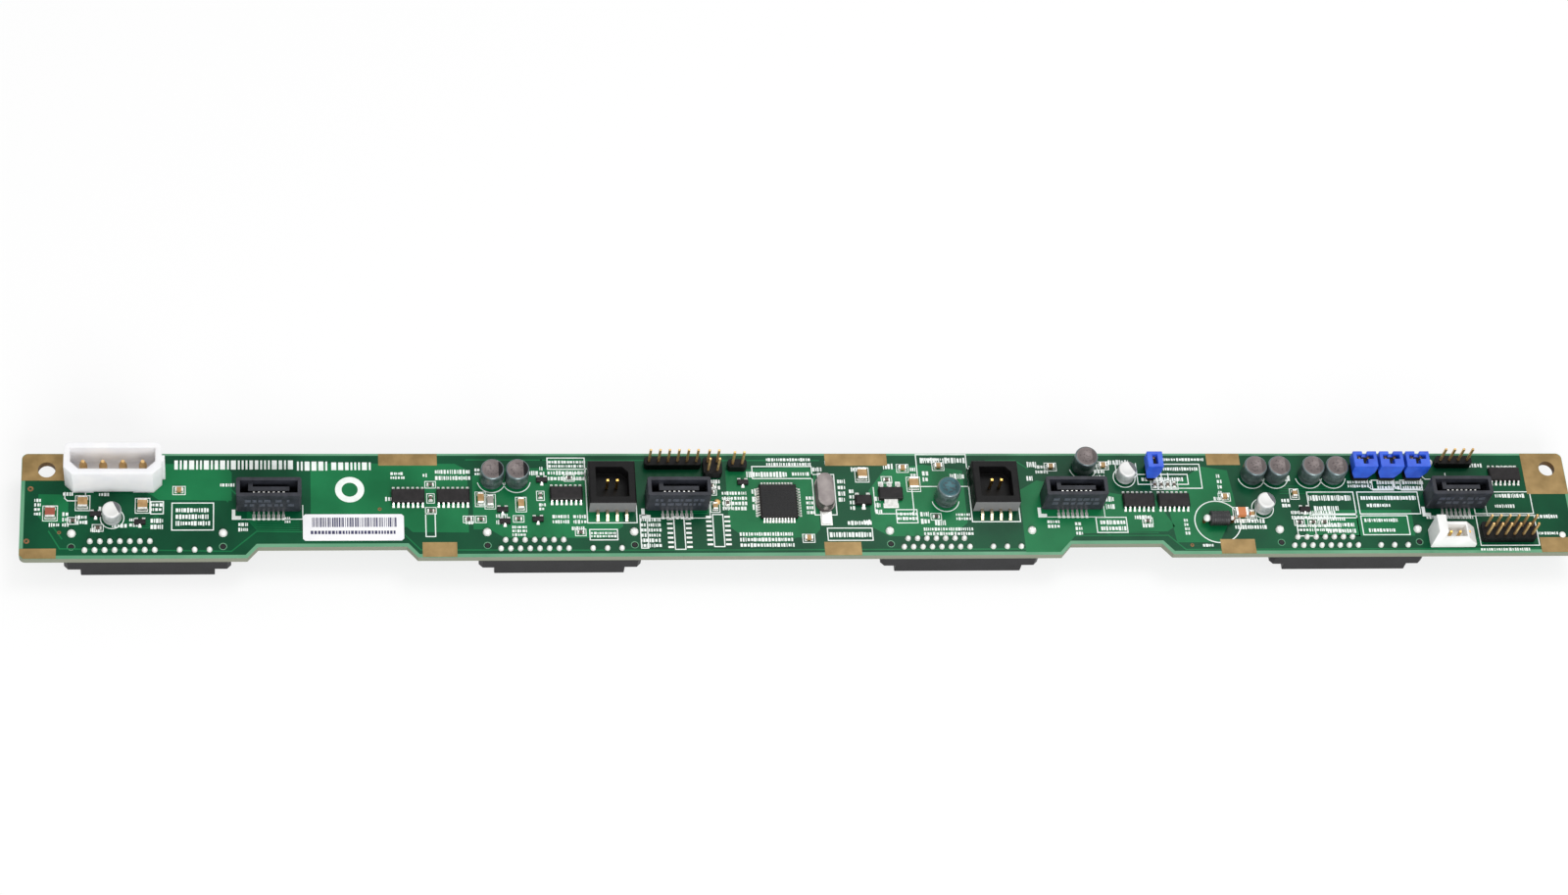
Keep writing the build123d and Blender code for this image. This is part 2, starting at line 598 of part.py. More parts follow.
def sideband_header(bay, x):
    """Low square shroud round a cavity with one cut corner, and a seat for each post."""
    cx, cy = bay_x(bay, x), up(SIDE_Y)
    rim = TOP + SIDE_HEIGHT
    body = slab(cx, cy, SIDE_LENGTH, SIDE_DEPTH, TOP, rim)
    body = chamfer(body.edges().group_by(Axis.Z)[-1], SIDE_RIM)
    cavity = Pos(cx, cy) * Rectangle(SIDE_LENGTH - 2 * SIDE_WALL, SIDE_DEPTH - 2 * SIDE_WALL)
    corner = cavity.vertices().group_by(Axis.Y)[-1].sort_by(Axis.X)[-1]
    body -= raised(chamfer(corner, SIDE_KEY), TOP + SIDE_FLOOR, rim + OVERRUN)
    for side in (-1, 1):
        body -= slab(cx + side * GRID / 2, cy, SIDE_PIN, SIDE_PIN, TOP + SIDE_FLOOR - SIDE_PIN_SEAT,
                     rim)
    return body


def bent_leg(x, wall, side, reach, rise, width):
    """A leg that leaves a body level, then drops to the board, towards side."""
    knee, toe = wall + side * reach / 2, wall + side * reach
    high, low = TOP + rise, TOP + rise - LEG_THICKNESS
    points = [(wall, high), (knee, high), (toe, TOP + LEG_THICKNESS), (toe, TOP), (knee, low),
              (wall, low)]
    return profile_x(points, x, width)


def sideband_pins(bay, x):
    """Two posts in the cavity, and bent legs in front and behind that meet the shroud."""
    cx, cy = bay_x(bay, x), up(SIDE_Y)
    seat = TOP + SIDE_FLOOR - SIDE_PIN_SEAT
    metal = [post(cx + side * GRID / 2, cy, SIDE_PIN, seat, TOP + SIDE_PIN_TOP) for side in (-1, 1)]
    for i in range(SIDE_LEGS):
        leg = cx + (i - (SIDE_LEGS - 1) / 2) * GRID
        for side, reach in ((-1, SIDE_FRONT_REACH), (1, SIDE_BACK_REACH)):
            metal.append(bent_leg(leg, cy + side * SIDE_DEPTH / 2, side, reach, SIDE_LEG_RISE,
                                  SIDE_LEG_WIDTH))
    return metal


def cans(places, radius):
    """Can capacitors of one diameter."""
    return [rod(bay_x(bay, x), up(y), radius, TOP, TOP + height) for bay, x, y, height in places]


def chip_body(place, size, standoff, edge):
    """A moulded chip body whose top edges slope in."""
    bay, x, y = place
    length, depth, height = size
    body = slab(bay_x(bay, x), up(y), length, depth, TOP + standoff, TOP + height)
    return chamfer(body.edges().group_by(Axis.Z)[-1], edge)


def tab(x, wall, side, width, reach, rise):
    """A leg that slopes from a body's wall to a flat foot on the board."""
    toe = wall + side * reach
    return profile_x([(wall, TOP + rise), (toe, TOP), (toe - side * reach * LEG_FOOT, TOP)], x, width)


def logic_chip_legs():
    """Rows of legs along both long sides of each small-outline chip."""
    return [tab(bay_x(bay, x) + (i - (LEGS_A_SIDE - 1) / 2) * CONTACT_PITCH,
                up(y) + side * CHIP_DEPTH / 2, side, CHIP_LEG_WIDTH, CHIP_LEG_REACH, CHIP_HEIGHT / 2)
            for bay, x, y in LOGIC_CHIPS for i in range(LEGS_A_SIDE) for side in (-1, 1)]


def controller_legs():
    """Legs on all four sides of the square chip."""
    bay, x, y = CONTROLLER
    middle = (CONTROLLER_LEGS - 1) / 2
    row = [tab((i - middle) * CONTROLLER_PITCH, -CONTROLLER_SIDE / 2, -1, CONTROLLER_LEG_WIDTH,
               CHIP_LEG_REACH, CONTROLLER_HEIGHT / 2) for i in range(CONTROLLER_LEGS)]
    return [Pos(bay_x(bay, x), up(y)) * Rot(0, 0, 90 * turn) * leg for turn in range(4) for leg in row]


def crystal():
    """Oval can on its flange."""
    bay, x, y = CRYSTAL
    place = Pos(bay_x(bay, x), up(y)) * Rot(0, 0, 90)
    straight = CRYSTAL_LENGTH - CRYSTAL_WIDTH
    flange = place * SlotCenterToCenter(straight, CRYSTAL_WIDTH + 2 * CRYSTAL_RIM)
    wall = place * SlotCenterToCenter(straight, CRYSTAL_WIDTH)
    return raised(flange, TOP, TOP + CRYSTAL_RIM_HEIGHT) + raised(wall, TOP, TOP + CRYSTAL_HEIGHT)


def crystal_pads():
    """Soldered feet that stand out at the front and the back of the oval can."""
    bay, x, y = CRYSTAL
    end = CRYSTAL_LENGTH / 2 + CRYSTAL_RIM
    return [slab(bay_x(bay, x), up(y) + side * (end + length / 2), CRYSTAL_PAD_WIDTH, length,
                 TOP, TOP + CRYSTAL_PAD_HEIGHT)
            for side, length in ((-1, CRYSTAL_PAD_FRONT), (1, CRYSTAL_PAD_BACK))]


def three_legs(place, size, front, front_reach, back, back_reach, spread):
    """Legs of a small flat part: one in front and two behind, given by width and reach."""
    bay, x, y = place
    cx, cy, depth, rise = bay_x(bay, x), up(y), size[1], size[2] / 2
    metal = [tab(cx, cy - depth / 2, -1, front, front_reach, rise)]
    metal += [tab(cx + side * spread, cy + depth / 2, 1, back, back_reach, rise) for side in (-1, 1)]
    return metal


def regulator_legs():
    """Wide tab in front of the regulator and three legs behind it."""
    metal = three_legs(REGULATOR, REGULATOR_SIZE, REGULATOR_TAB, REGULATOR_TAB_REACH,
                       REGULATOR_LEG_WIDTH, REGULATOR_TAB_REACH, REGULATOR_SPREAD)
    bay, x, y = REGULATOR
    metal.append(tab(bay_x(bay, x), up(y) + REGULATOR_SIZE[1] / 2, 1, REGULATOR_LEG_WIDTH,
                     REGULATOR_TAB_REACH, REGULATOR_SIZE[2] / 2))
    return metal


def chip_parts(places, size, cap):
    """Ceramic bodies and the metal end caps on both ends of each."""
    bodies, caps = [], []
    for bay, x, y, across in places:
        place = Pos(bay_x(bay, x), up(y)) * Rot(0, 0, 90 if across else 0)
        length, depth, height = size
        bodies.append(place * slab(0, 0, length - 2 * cap, depth, TOP, TOP + height))
        for side in (-1, 1):
            caps.append(place * slab(side * (length - cap) / 2, 0, cap, depth, TOP, TOP + height))
    return bodies, caps


def header_base(places, height):
    """Header base with cut corners and a square hole for each pin."""
    xs, ys = [x for x, _ in places], [y for _, y in places]
    outline = Pos((min(xs) + max(xs)) / 2, (min(ys) + max(ys)) / 2)
    outline *= Rectangle(max(xs) - min(xs) + GRID, max(ys) - min(ys) + GRID)
    outline = chamfer(outline.vertices(), HEADER_CORNER)
    outline -= [Pos(x, y) * Rectangle(HEADER_PIN, HEADER_PIN) for x, y in places]
    return raised(outline, TOP, TOP + height)


def jumper_cap(bay, x, width, columns):
    """Push-on cap: tapered sides, a chamber for each column of pins and a notch in its roof."""
    cx, cy = bay_x(bay, x), up(JUMPER_Y)
    low = TOP + JUMPER_BASE_HEIGHT
    high, bend, half = low + CAP_HEIGHT, low + CAP_TAPER_HEIGHT, width / 2
    foot = half - CAP_TAPER * width
    cap = profile_y([(cx - foot, low), (cx + foot, low), (cx + half, bend), (cx + half, high),
                     (cx - half, high), (cx - half, bend)], cy, CAP_DEPTH)
    side = HEADER_PIN + 2 * CAP_PIN_PLAY
    for px in sorted({round(px, 6) for px, _ in jumper_places(bay, x, width, columns)}):
        cap -= slab(px, cy, side, GRID + side, low - OVERRUN, high - CAP_ROOF)
    roof, back = high - CAP_RECESS, cy + CAP_DEPTH / 2
    stem = CAP_DEPTH - CAP_MARGIN if columns > 1 else CAP_DEPTH - 2 * CAP_MARGIN
    start = cy - CAP_DEPTH / 2 + CAP_MARGIN
    cap -= block(cx - CAP_SLOT / 2, cx + CAP_SLOT / 2, start, start + stem, roof, high + OVERRUN)
    if columns > 1:
        bar = back - CAP_MARGIN - CAP_SLOT / 2
        cap -= slab(cx, bar, width - 2 * CAP_MARGIN, CAP_SLOT, roof, high + OVERRUN)
    return cap


def wire_places():
    """X of each contact in the white wire connector."""
    left = bay_x(4, WIRE_X) - WIRE_LENGTH / 2 + WIRE_TOWER + GRID
    return [left + i * GRID for i in range(WIRE_CONTACTS)]


def wire_connector():
    """White connector with a tall end, a sloped end and an open top."""
    cx, cy = bay_x(4, WIRE_X), up(WIRE_Y)
    x0, x1 = cx - WIRE_LENGTH / 2, cx + WIRE_LENGTH / 2
    high, step = TOP + WIRE_HEIGHT, x0 + WIRE_TOWER
    tower = high + WIRE_TOWER_RISE
    body = profile_y([(x0, TOP), (x1, TOP), (x1, TOP + WIRE_END_HEIGHT), (x1 - WIRE_SLOPE, high),
                      (step, high), (step, tower), (x0, tower)], cy, WIRE_DEPTH)
    floor = high - WIRE_CAVITY
    body -= block(step + WIRE_WALL, x1 - WIRE_SLOPE - WIRE_WALL / 2, cy - WIRE_DEPTH / 2 + WIRE_WALL,
                  cy + WIRE_DEPTH / 2 - WIRE_WALL, floor, high + OVERRUN)
    for x in wire_places():
        body -= slab(x, cy, SIDE_PIN, SIDE_PIN, floor - WIRE_CONTACT_SEAT, high)
    return body


def wire_contacts():
    """Posts inside the white connector."""
    floor = TOP + WIRE_HEIGHT - WIRE_CAVITY
    return [post(x, up(WIRE_Y), SIDE_PIN, floor - WIRE_CONTACT_SEAT, TOP + WIRE_HEIGHT - WIRE_WALL)
            for x in wire_places()]


def choke():
    """The wound body, a cylinder that lies along the board."""
    bay, x, y = CHOKE
    return Pos(bay_x(bay, x), up(y), TOP + CHOKE_RADIUS) * Rot(0, 90, 0) * Cylinder(
        CHOKE_RADIUS, CHOKE_LENGTH)


def choke_leads():
    """A wire from each end of the choke, bent down through the board."""
    bay, x, y = CHOKE
    half, axis = CHOKE_LEAD / 2, TOP + CHOKE_RADIUS
    leads = []
    for side in (-1, 1):
        inner = bay_x(bay, x) + side * CHOKE_LENGTH / 2
        bend = choke_lead_place(side)[0]
        points = [(inner, axis + half), (bend + side * half, axis + half),
                  (bend + side * half, -SOLDER_REACH), (bend - side * half, -SOLDER_REACH),
                  (bend - side * half, axis - half), (inner, axis - half)]
        leads.append(profile_y(points, up(y), CHOKE_LEAD))
    return leads


def label():
    """Paper label with cut corners."""
    outline = Pos(bay_x(1, LABEL_X), up(LABEL_Y)) * Rectangle(LABEL_LENGTH, LABEL_HEIGHT)
    return raised(chamfer(outline.vertices(), LABEL_CORNER), TOP, TOP + LABEL_THICKNESS)


os.makedirs("parts", exist_ok=True)

board = circuit_board()
write("circuit_board", board)
write("ground_pads", *ground_pads(board))
write("paper_label", label())

for bay in range(1, BAYS + 1):
    write(f"drive_receptacle_{bay}", receptacle(bay))
    write(f"drive_contacts_{bay}", *receptacle_contacts(bay))
    write(f"data_port_{bay}", data_port(bay))
    write(f"data_port_contacts_{bay}", *data_port_contacts(bay))
write("receptacle_locks", *receptacle_locks())

write("power_inlet_housing", power_inlet())
write("power_inlet_pins", *power_inlet_pins())
for number, side_place in enumerate(zip(SIDE_BAYS, SIDE_X), 1):
    write(f"sideband_header_{number}", sideband_header(*side_place))
    write(f"sideband_pins_{number}", *sideband_pins(*side_place))

write("can_capacitors", *cans(TALL_CANS, CAN_RADIUS))
write("small_can_capacitors", *cans(SMALL_CANS, SMALL_CAN_RADIUS))

chip_size = (CHIP_LENGTH, CHIP_DEPTH, CHIP_HEIGHT)
write("logic_chips", *[chip_body(place, chip_size, CHIP_STANDOFF, CHIP_CHAMFER) for place in LOGIC_CHIPS])
write("logic_chip_legs", *logic_chip_legs())
controller_size = (CONTROLLER_SIDE, CONTROLLER_SIDE, CONTROLLER_HEIGHT)
write("controller_chip", chip_body(CONTROLLER, controller_size, CHIP_STANDOFF, CHIP_CHAMFER))
write("controller_legs", *controller_legs())
write("crystal_can", crystal())
write("crystal_pads", *crystal_pads())

write("regulator_body", chip_body(REGULATOR, REGULATOR_SIZE, 0, CHIP_CHAMFER))
write("regulator_legs", *regulator_legs())
write("small_regulator_body", chip_body(SMALL_REGULATOR, SMALL_REGULATOR_SIZE, 0, CHIP_CHAMFER))
write("small_regulator_legs", *three_legs(
    SMALL_REGULATOR, SMALL_REGULATOR_SIZE, SMALL_REGULATOR_LEG_WIDTH, CHIP_LEG_REACH,
    SMALL_REGULATOR_LEG_WIDTH, CHIP_LEG_REACH, SMALL_REGULATOR_SPREAD))
write("small_transistors", *[chip_body(place, TRANSISTOR_SIZE, 0, TRANSISTOR_EDGE)
                             for place in TRANSISTORS])
write("small_transistor_legs", *[leg for place in TRANSISTORS for leg in three_legs(
    place, TRANSISTOR_SIZE, TRANSISTOR_LEG_WIDTH, TRANSISTOR_LEG_REACH, TRANSISTOR_LEG_WIDTH,
    TRANSISTOR_LEG_REACH, TRANSISTOR_SPREAD)])

capacitor_bodies, end_caps = [], []
for places, size, cap in ((LARGE_CAPACITORS, LARGE_CAPACITOR_SIZE, LARGE_CAPACITOR_CAP),
                          (LONG_CAPACITORS, LONG_CAPACITOR_SIZE, LARGE_CAPACITOR_CAP),
                          (CAPACITORS, CAPACITOR_SIZE, CAPACITOR_CAP)):
    bodies, caps = chip_parts(places, size, cap)
    capacitor_bodies += bodies
    end_caps += caps
resistor_bodies, resistor_caps = chip_parts(RESISTORS, RESISTOR_SIZE, RESISTOR_CAP)
write("chip_capacitors", *capacitor_bodies)
write("chip_resistors", *resistor_bodies)
write("chip_part_caps", *end_caps, *resistor_caps)

header_pins = []
for number, header in enumerate(HEADERS, 1):
    places = header_places(*header)
    write(f"pin_header_{number}", header_base(places, HEADER_BASE))
    header_pins += [post(x, y, HEADER_PIN, -SOLDER_REACH, TOP + HEADER_PIN_TOP) for x, y in places]
write("header_pins", *header_pins)

jumper_bases, jumper_pins = [], []
for number, jumper in enumerate(JUMPERS, 1):
    places = jumper_places(*jumper)
    jumper_bases.append(header_base(places, JUMPER_BASE_HEIGHT))
    jumper_pins += [post(x, y, HEADER_PIN, -SOLDER_REACH, TOP + JUMPER_PIN_TOP) for x, y in places]
    write(f"jumper_cap_{number}", jumper_cap(*jumper))
write("jumper_headers", *jumper_bases)
write("jumper_pins", *jumper_pins)

write("wire_connector", wire_connector())
write("wire_contacts", *wire_contacts())
write("choke_body", choke())
write("choke_leads", *choke_leads())
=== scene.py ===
# %% [markdown]
# # A drive backplane board
# A backplane is the long circuit board at the back of a server's drive bay. Drives plug into the
# four black receptacles under it, and the ports on top join them to the server. The measured
# solids come from the CAD frame. This lesson dresses them: finishes for every part, copper under
# the green coat, white ink, solder, and the turned cans that the CAD keeps as plain rods.

# %% Load the CAD frame
import math
import random

import bmesh
import bpy
from mathutils import Matrix, Vector


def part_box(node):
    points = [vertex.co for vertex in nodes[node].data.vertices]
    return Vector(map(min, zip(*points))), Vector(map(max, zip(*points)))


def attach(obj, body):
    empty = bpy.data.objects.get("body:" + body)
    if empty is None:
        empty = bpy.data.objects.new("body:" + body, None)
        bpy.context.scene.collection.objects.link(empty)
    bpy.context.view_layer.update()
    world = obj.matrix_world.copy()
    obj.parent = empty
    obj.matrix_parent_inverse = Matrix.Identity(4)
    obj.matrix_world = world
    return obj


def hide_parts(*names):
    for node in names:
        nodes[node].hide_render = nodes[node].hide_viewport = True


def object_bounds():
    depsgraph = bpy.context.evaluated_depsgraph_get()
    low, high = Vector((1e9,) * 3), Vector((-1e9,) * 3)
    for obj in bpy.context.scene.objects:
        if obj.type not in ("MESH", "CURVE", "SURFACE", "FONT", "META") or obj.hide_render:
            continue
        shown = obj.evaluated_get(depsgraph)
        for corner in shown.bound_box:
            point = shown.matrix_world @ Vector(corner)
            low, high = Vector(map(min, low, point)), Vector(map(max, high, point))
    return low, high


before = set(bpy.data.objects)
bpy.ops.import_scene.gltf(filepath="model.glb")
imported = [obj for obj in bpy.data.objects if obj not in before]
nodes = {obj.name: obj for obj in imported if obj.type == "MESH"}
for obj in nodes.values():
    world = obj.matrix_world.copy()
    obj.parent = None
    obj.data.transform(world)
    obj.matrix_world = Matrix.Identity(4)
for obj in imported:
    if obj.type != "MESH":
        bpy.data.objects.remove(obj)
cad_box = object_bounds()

MM = 0.001
board_low, board_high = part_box("circuit_board")
FACE = board_high.z
REAR = board_low.z
print("nodes", len(nodes), "board", [round(v / MM, 2) for v in board_high - board_low], "mm")

# %% [markdown]
# ## The camera
# The picture was taken from above and a little to the left, with a long lens, so the board
# hardly narrows towards its far end. The lens and the two turns were found by lining up the bay
# spacing, which is a known size, with the picture. A camera built from an aim point, a distance
# and two turns is easier to adjust than one typed in as a matrix.

# %% Camera
LENS = 83.25
SENSOR = 36.0
TILT = math.radians(29.66)
YAW = math.radians(-8.31)
AIM = Vector((-9.05, 6.71, 2.0)) * MM
DISTANCE = 973.8 * MM

camera_data = bpy.data.cameras.new("camera")
camera_data.lens = LENS
camera_data.sensor_width = SENSOR
camera_data.clip_start = 0.05
camera_data.clip_end = 20.0
camera = bpy.data.objects.new("camera", camera_data)
bpy.context.scene.collection.objects.link(camera)
turn = Matrix.Rotation(TILT, 4, "X") @ Matrix.Rotation(YAW, 4, "Y")
camera.matrix_world = Matrix.Translation(AIM) @ turn @ Matrix.Translation((0, 0, DISTANCE))
bpy.context.scene.camera = camera
print("camera at", [round(v, 3) for v in camera.matrix_world.translation], "m")

# %% [markdown]
# ## From the picture to the board
# Ink and copper are placed by where they show in the picture. The ends of the board and of the
# four contact rows are known in both, so a point is read off between the two nearest of them,
# along the board and across it. That keeps a mark beside its own part all along the board, even
# where the lens bends the picture a little.

# %% Picture to board
# Pixels along the picture against millimetres from the board's left end
ALONG = ((15.2, 0.0), (84.5, 16.6), (213.5, 48.35), (516.0, 123.6), (637.6, 155.35),
         (918.4, 230.6), (1036.5, 262.35), (1316.3, 337.6), (1430.9, 369.35), (1600.0, 417.7))
# Pixels along the picture against the pixel row of the board's top and bottom edge
TOP_EDGE = ((30, 467.3), (250, 464.8), (690, 463.2), (1500, 462.6))
BOTTOM_EDGE = ((30, 572.5), (250, 568.5), (450, 564.9), (690, 563.9), (1500, 563.4))


def between(table, value):
    """Reads a value off a short table, on a straight line between its nearest entries."""
    pairs = list(zip(table, table[1:]))
    pick = next((pair for pair in pairs if value <= pair[1][0]), pairs[-1])
    (x0, y0), (x1, y1) = pick
    return y0 + (y1 - y0) * (value - x0) / (x1 - x0)


def on_board(px, py):
    """The place on the board's face under a point of the picture, in metres."""
    top, bottom = between(TOP_EDGE, px), between(BOTTOM_EDGE, px)
    across = (bottom - py) / (bottom - top) * (board_high.y - board_low.y)
    return Vector((board_low.x + between(ALONG, px) * MM, board_low.y + across, FACE))


left_end = on_board(ALONG[0][0], BOTTOM_EDGE[0][1])
print("the left end of the picture's board is at x", round(left_end.x / MM, 1), "mm")

# %% [markdown]
# ## World
# The board lies on a pale table under soft studio light. Two large lamps light it, and the world
# fills in the rest. The table and the world look white to the camera through the Light Path node,
# so the background needs no extra light on the board. Metal and glass get the same white through
# the glossy and the transmission rays. Math nodes work that out, and a helper sets them up.

# %% World
WHITE = (1.0, 1.0, 1.0, 1.0)
FILL_STRENGTH = 0.6


def calc(tree, kind, a, b=None):
    """A Math node: each input is a socket or a number."""
    node = tree.nodes.new("ShaderNodeMath")
    node.operation = kind
    for slot, value in enumerate((a, b)):
        if isinstance(value, bpy.types.NodeSocket):
            tree.links.new(value, node.inputs[slot])
        elif value is not None:
            node.inputs[slot].default_value = value
    return node.outputs[0]


def seen_directly(tree):
    """One for rays from the camera and for rays that metal or glass sends on, otherwise zero."""
    rays = tree.nodes.new("ShaderNodeLightPath").outputs
    sent_on = calc(tree, "MAXIMUM", rays["Is Glossy Ray"], rays["Is Transmission Ray"])
    return calc(tree, "MAXIMUM", rays["Is Camera Ray"], sent_on)


world = bpy.data.worlds.new("studio")
world.use_nodes = True
tree = world.node_tree
fill = tree.nodes["Background"]
fill.inputs["Color"].default_value = WHITE
fill.inputs["Strength"].default_value = FILL_STRENGTH
paper = tree.nodes.new("ShaderNodeBackground")
paper.inputs["Color"].default_value = WHITE
paper.inputs["Strength"].default_value = 1.0
choose = tree.nodes.new("ShaderNodeMixShader")
tree.links.new(seen_directly(tree), choose.inputs["Fac"])
tree.links.new(fill.outputs[0], choose.inputs[1])
tree.links.new(paper.outputs[0], choose.inputs[2])
tree.links.new(choose.outputs[0], tree.nodes["World Output"].inputs["Surface"])
bpy.context.scene.world = world
print("world fill", FILL_STRENGTH)

# %% [markdown]
# ## The table
# The table is a large flat grid at the level of the board's lowest point. Its material is a matt
# pale grey that takes the shadow. The rays picked out above see it mixed with a plain white glow,
# and less glow would show more of the shadow and a greyer table.

# %% Table
TABLE_GREY = (0.93, 0.93, 0.93, 1.0)
TABLE_GLOW = 0.72
TABLE_SIZE = 3.0


def mesh_object(name, bm, material):
    """Makes a finished bmesh into an object of the scene."""
    mesh = bpy.data.meshes.new(name)
    bm.to_mesh(mesh)
    bm.free()
    mesh.materials.append(material)
    made = bpy.data.objects.new(name, mesh)
    bpy.context.scene.collection.objects.link(made)
    return made


table = bpy.data.materials.new("pale_table")
table.use_nodes = True
tree = table.node_tree
matt = tree.nodes["Principled BSDF"]
matt.inputs["Base Color"].default_value = TABLE_GREY
matt.inputs["Roughness"].default_value = 0.9
glow = tree.nodes.new("ShaderNodeEmission")
glow.inputs["Strength"].default_value = 1.0
both = tree.nodes.new("ShaderNodeMixShader")
tree.links.new(calc(tree, "MULTIPLY", seen_directly(tree), TABLE_GLOW), both.inputs["Fac"])
tree.links.new(matt.outputs[0], both.inputs[1])
tree.links.new(glow.outputs[0], both.inputs[2])
tree.links.new(both.outputs[0], tree.nodes["Material Output"].inputs["Surface"])

bm = bmesh.new()
bmesh.ops.create_grid(bm, x_segments=2, y_segments=2, size=TABLE_SIZE,
                      matrix=Matrix.Translation((0, 0, cad_box[0].z)))
floor = mesh_object("floor", bm, table)
print("table at", round(cad_box[0].z / MM, 2), "mm")

# %% [markdown]
# ## Lamps
# A glossy coat mirrors a lamp as a whitish patch, so where the lamps hang matters as much as how
# strong they are. The key lamp hangs a little to the right, where its mirror image falls between
# the two ends of the board, and a second one in front lights the walls that face the camera.

# %% Lamps
def lamp(name, place, size, power):
    """A square soft box that faces the board; metres and watts."""
    data = bpy.data.lights.new(name, "AREA")
    data.size = size
    data.energy = power
    obj = bpy.data.objects.new(name, data)
    bpy.context.scene.collection.objects.link(obj)
    obj.location = place
    obj.rotation_mode = "QUATERNION"
    obj.rotation_quaternion = (-Vector(place)).to_track_quat("-Z", "Y")


lamp("key", (0.25, 0.35, 1.1), 0.5, 3.8)
lamp("front", (0.05, -1.0, 0.66), 0.6, 8.0)

# %% [markdown]
# ## Finishes
# Nearly every surface here is a moulded, plated or printed one, with small changes in colour and
# gloss and a fine relief. One node group gives that: two noises, a broad one for the colour and a
# fine one for gloss and relief. Each finish then only states its own two colours, its sizes and
# how shiny it is. Colours are given as on a colour chart, 0 to 255, and made linear for Blender.

# %% Shared surface group
def rgb(red, green, blue):
    """A colour chart value as Blender's linear colour."""
    def linear(value):
        value /= 255
        return value / 12.92 if value <= 0.04045 else ((value + 0.055) / 1.055) ** 2.4
    return (linear(red), linear(green), linear(blue), 1.0)


def add(tree, kind, **values):
    """A new node, with its settings and its unlinked inputs."""
    node = tree.nodes.new(kind)
    for name, value in values.items():
        if hasattr(node, name):
            setattr(node, name, value)
        else:
            node.inputs[name.replace("_", " ")].default_value = value
    return node


def mixed(tree, mask, a, b):
    """A colour between a and b, by a mask."""
    node = tree.nodes.new("ShaderNodeMix")
    node.data_type = "RGBA"
    tree.links.new(mask, node.inputs["Factor"])
    for slot, value in ((6, a), (7, b)):
        if isinstance(value, bpy.types.NodeSocket):
            tree.links.new(value, node.inputs[slot])
        else:
            node.inputs[slot].default_value = value
    return node.outputs[2]


def surface_group():
    """Colour, roughness and relief that vary over a surface."""
    group = bpy.data.node_groups.new("surface_detail", "ShaderNodeTree")
    for name, kind in (("Dark", "NodeSocketColor"), ("Light", "NodeSocketColor"),
                       ("Blotch", "NodeSocketFloat"), ("Grain", "NodeSocketFloat"),
                       ("Gloss", "NodeSocketFloat"), ("Matt", "NodeSocketFloat")):
        group.interface.new_socket(name=name, in_out="INPUT", socket_type=kind)
    for name, kind in (("Color", "NodeSocketColor"), ("Roughness", "NodeSocketFloat"),
                       ("Height", "NodeSocketFloat")):
        group.interface.new_socket(name=name, in_out="OUTPUT", socket_type=kind)
    given, result = group.nodes.new("NodeGroupInput"), group.nodes.new("NodeGroupOutput")
    place = group.nodes.new("ShaderNodeTexCoord").outputs["Object"]
    broad = add(group, "ShaderNodeTexNoise", Detail=3.0)
    fine = add(group, "ShaderNodeTexNoise", Detail=2.0)
    for texture, scale in ((broad, "Blotch"), (fine, "Grain")):
        group.links.new(place, texture.inputs["Vector"])
        group.links.new(given.outputs[scale], texture.inputs["Scale"])
    spread = add(group, "ShaderNodeMapRange", From_Min=0.3, From_Max=0.7)
    group.links.new(broad.outputs["Fac"], spread.inputs["Value"])
    group.links.new(mixed(group, spread.outputs[0], given.outputs["Dark"], given.outputs["Light"]),
                    result.inputs["Color"])
    gloss = group.nodes.new("ShaderNodeMix")
    group.links.new(fine.outputs["Fac"], gloss.inputs["Factor"])
    group.links.new(given.outputs["Gloss"], gloss.inputs[2])
    group.links.new(given.outputs["Matt"], gloss.inputs[3])
    group.links.new(gloss.outputs[0], result.inputs["Roughness"])
    group.links.new(fine.outputs["Fac"], result.inputs["Height"])
    return group


SURFACE = surface_group()


def finish(name, dark, light, gloss=0.4, matt=0.6, metal=0.0, blotch=250, grain=4000, relief=0.02,
           shine=0.5):
    """A material with the shared detail; blotch and grain are scales, relief is in millimetres."""
    material = bpy.data.materials.new(name)
    material.use_nodes = True
    tree = material.node_tree
    shader = tree.nodes["Principled BSDF"]
    shader.inputs["Metallic"].default_value = metal
    shader.inputs["Specular IOR Level"].default_value = shine
    detail = tree.nodes.new("ShaderNodeGroup")
    detail.node_tree = SURFACE
    for socket, value in (("Dark", rgb(*dark)), ("Light", rgb(*light)), ("Blotch", blotch),
                          ("Grain", grain), ("Gloss", gloss), ("Matt", matt)):
        detail.inputs[socket].default_value = value
    bump = add(tree, "ShaderNodeBump", Strength=1.0, Distance=relief * MM)
    tree.links.new(detail.outputs["Color"], shader.inputs["Base Color"])
    tree.links.new(detail.outputs["Roughness"], shader.inputs["Roughness"])
    tree.links.new(detail.outputs["Height"], bump.inputs["Height"])
    tree.links.new(bump.outputs[0], shader.inputs["Normal"])
    return material


def recolour(material, mask, colour, rough=None, metal=None):
    """Lays another colour over a finish where the mask is one."""
    tree = material.node_tree
    shader = tree.nodes["Principled BSDF"]
    for socket, value in (("Base Color", colour), ("Roughness", rough), ("Metallic", metal)):
        if value is None:
            continue
        target = shader.inputs[socket]
        before = target.links[0].from_socket if target.is_linked else target.default_value
        if socket == "Base Color":
            tree.links.new(mixed(tree, mask, before, rgb(*value)), target)
            continue
        blend = tree.nodes.new("ShaderNodeMix")
        tree.links.new(mask, blend.inputs["Factor"])
        if isinstance(before, bpy.types.NodeSocket):
            tree.links.new(before, blend.inputs[2])
        else:
            blend.inputs[2].default_value = before
        blend.inputs[3].default_value = value
        tree.links.new(blend.outputs[0], target)


print("surface group sockets", len(SURFACE.interface.items_tree))

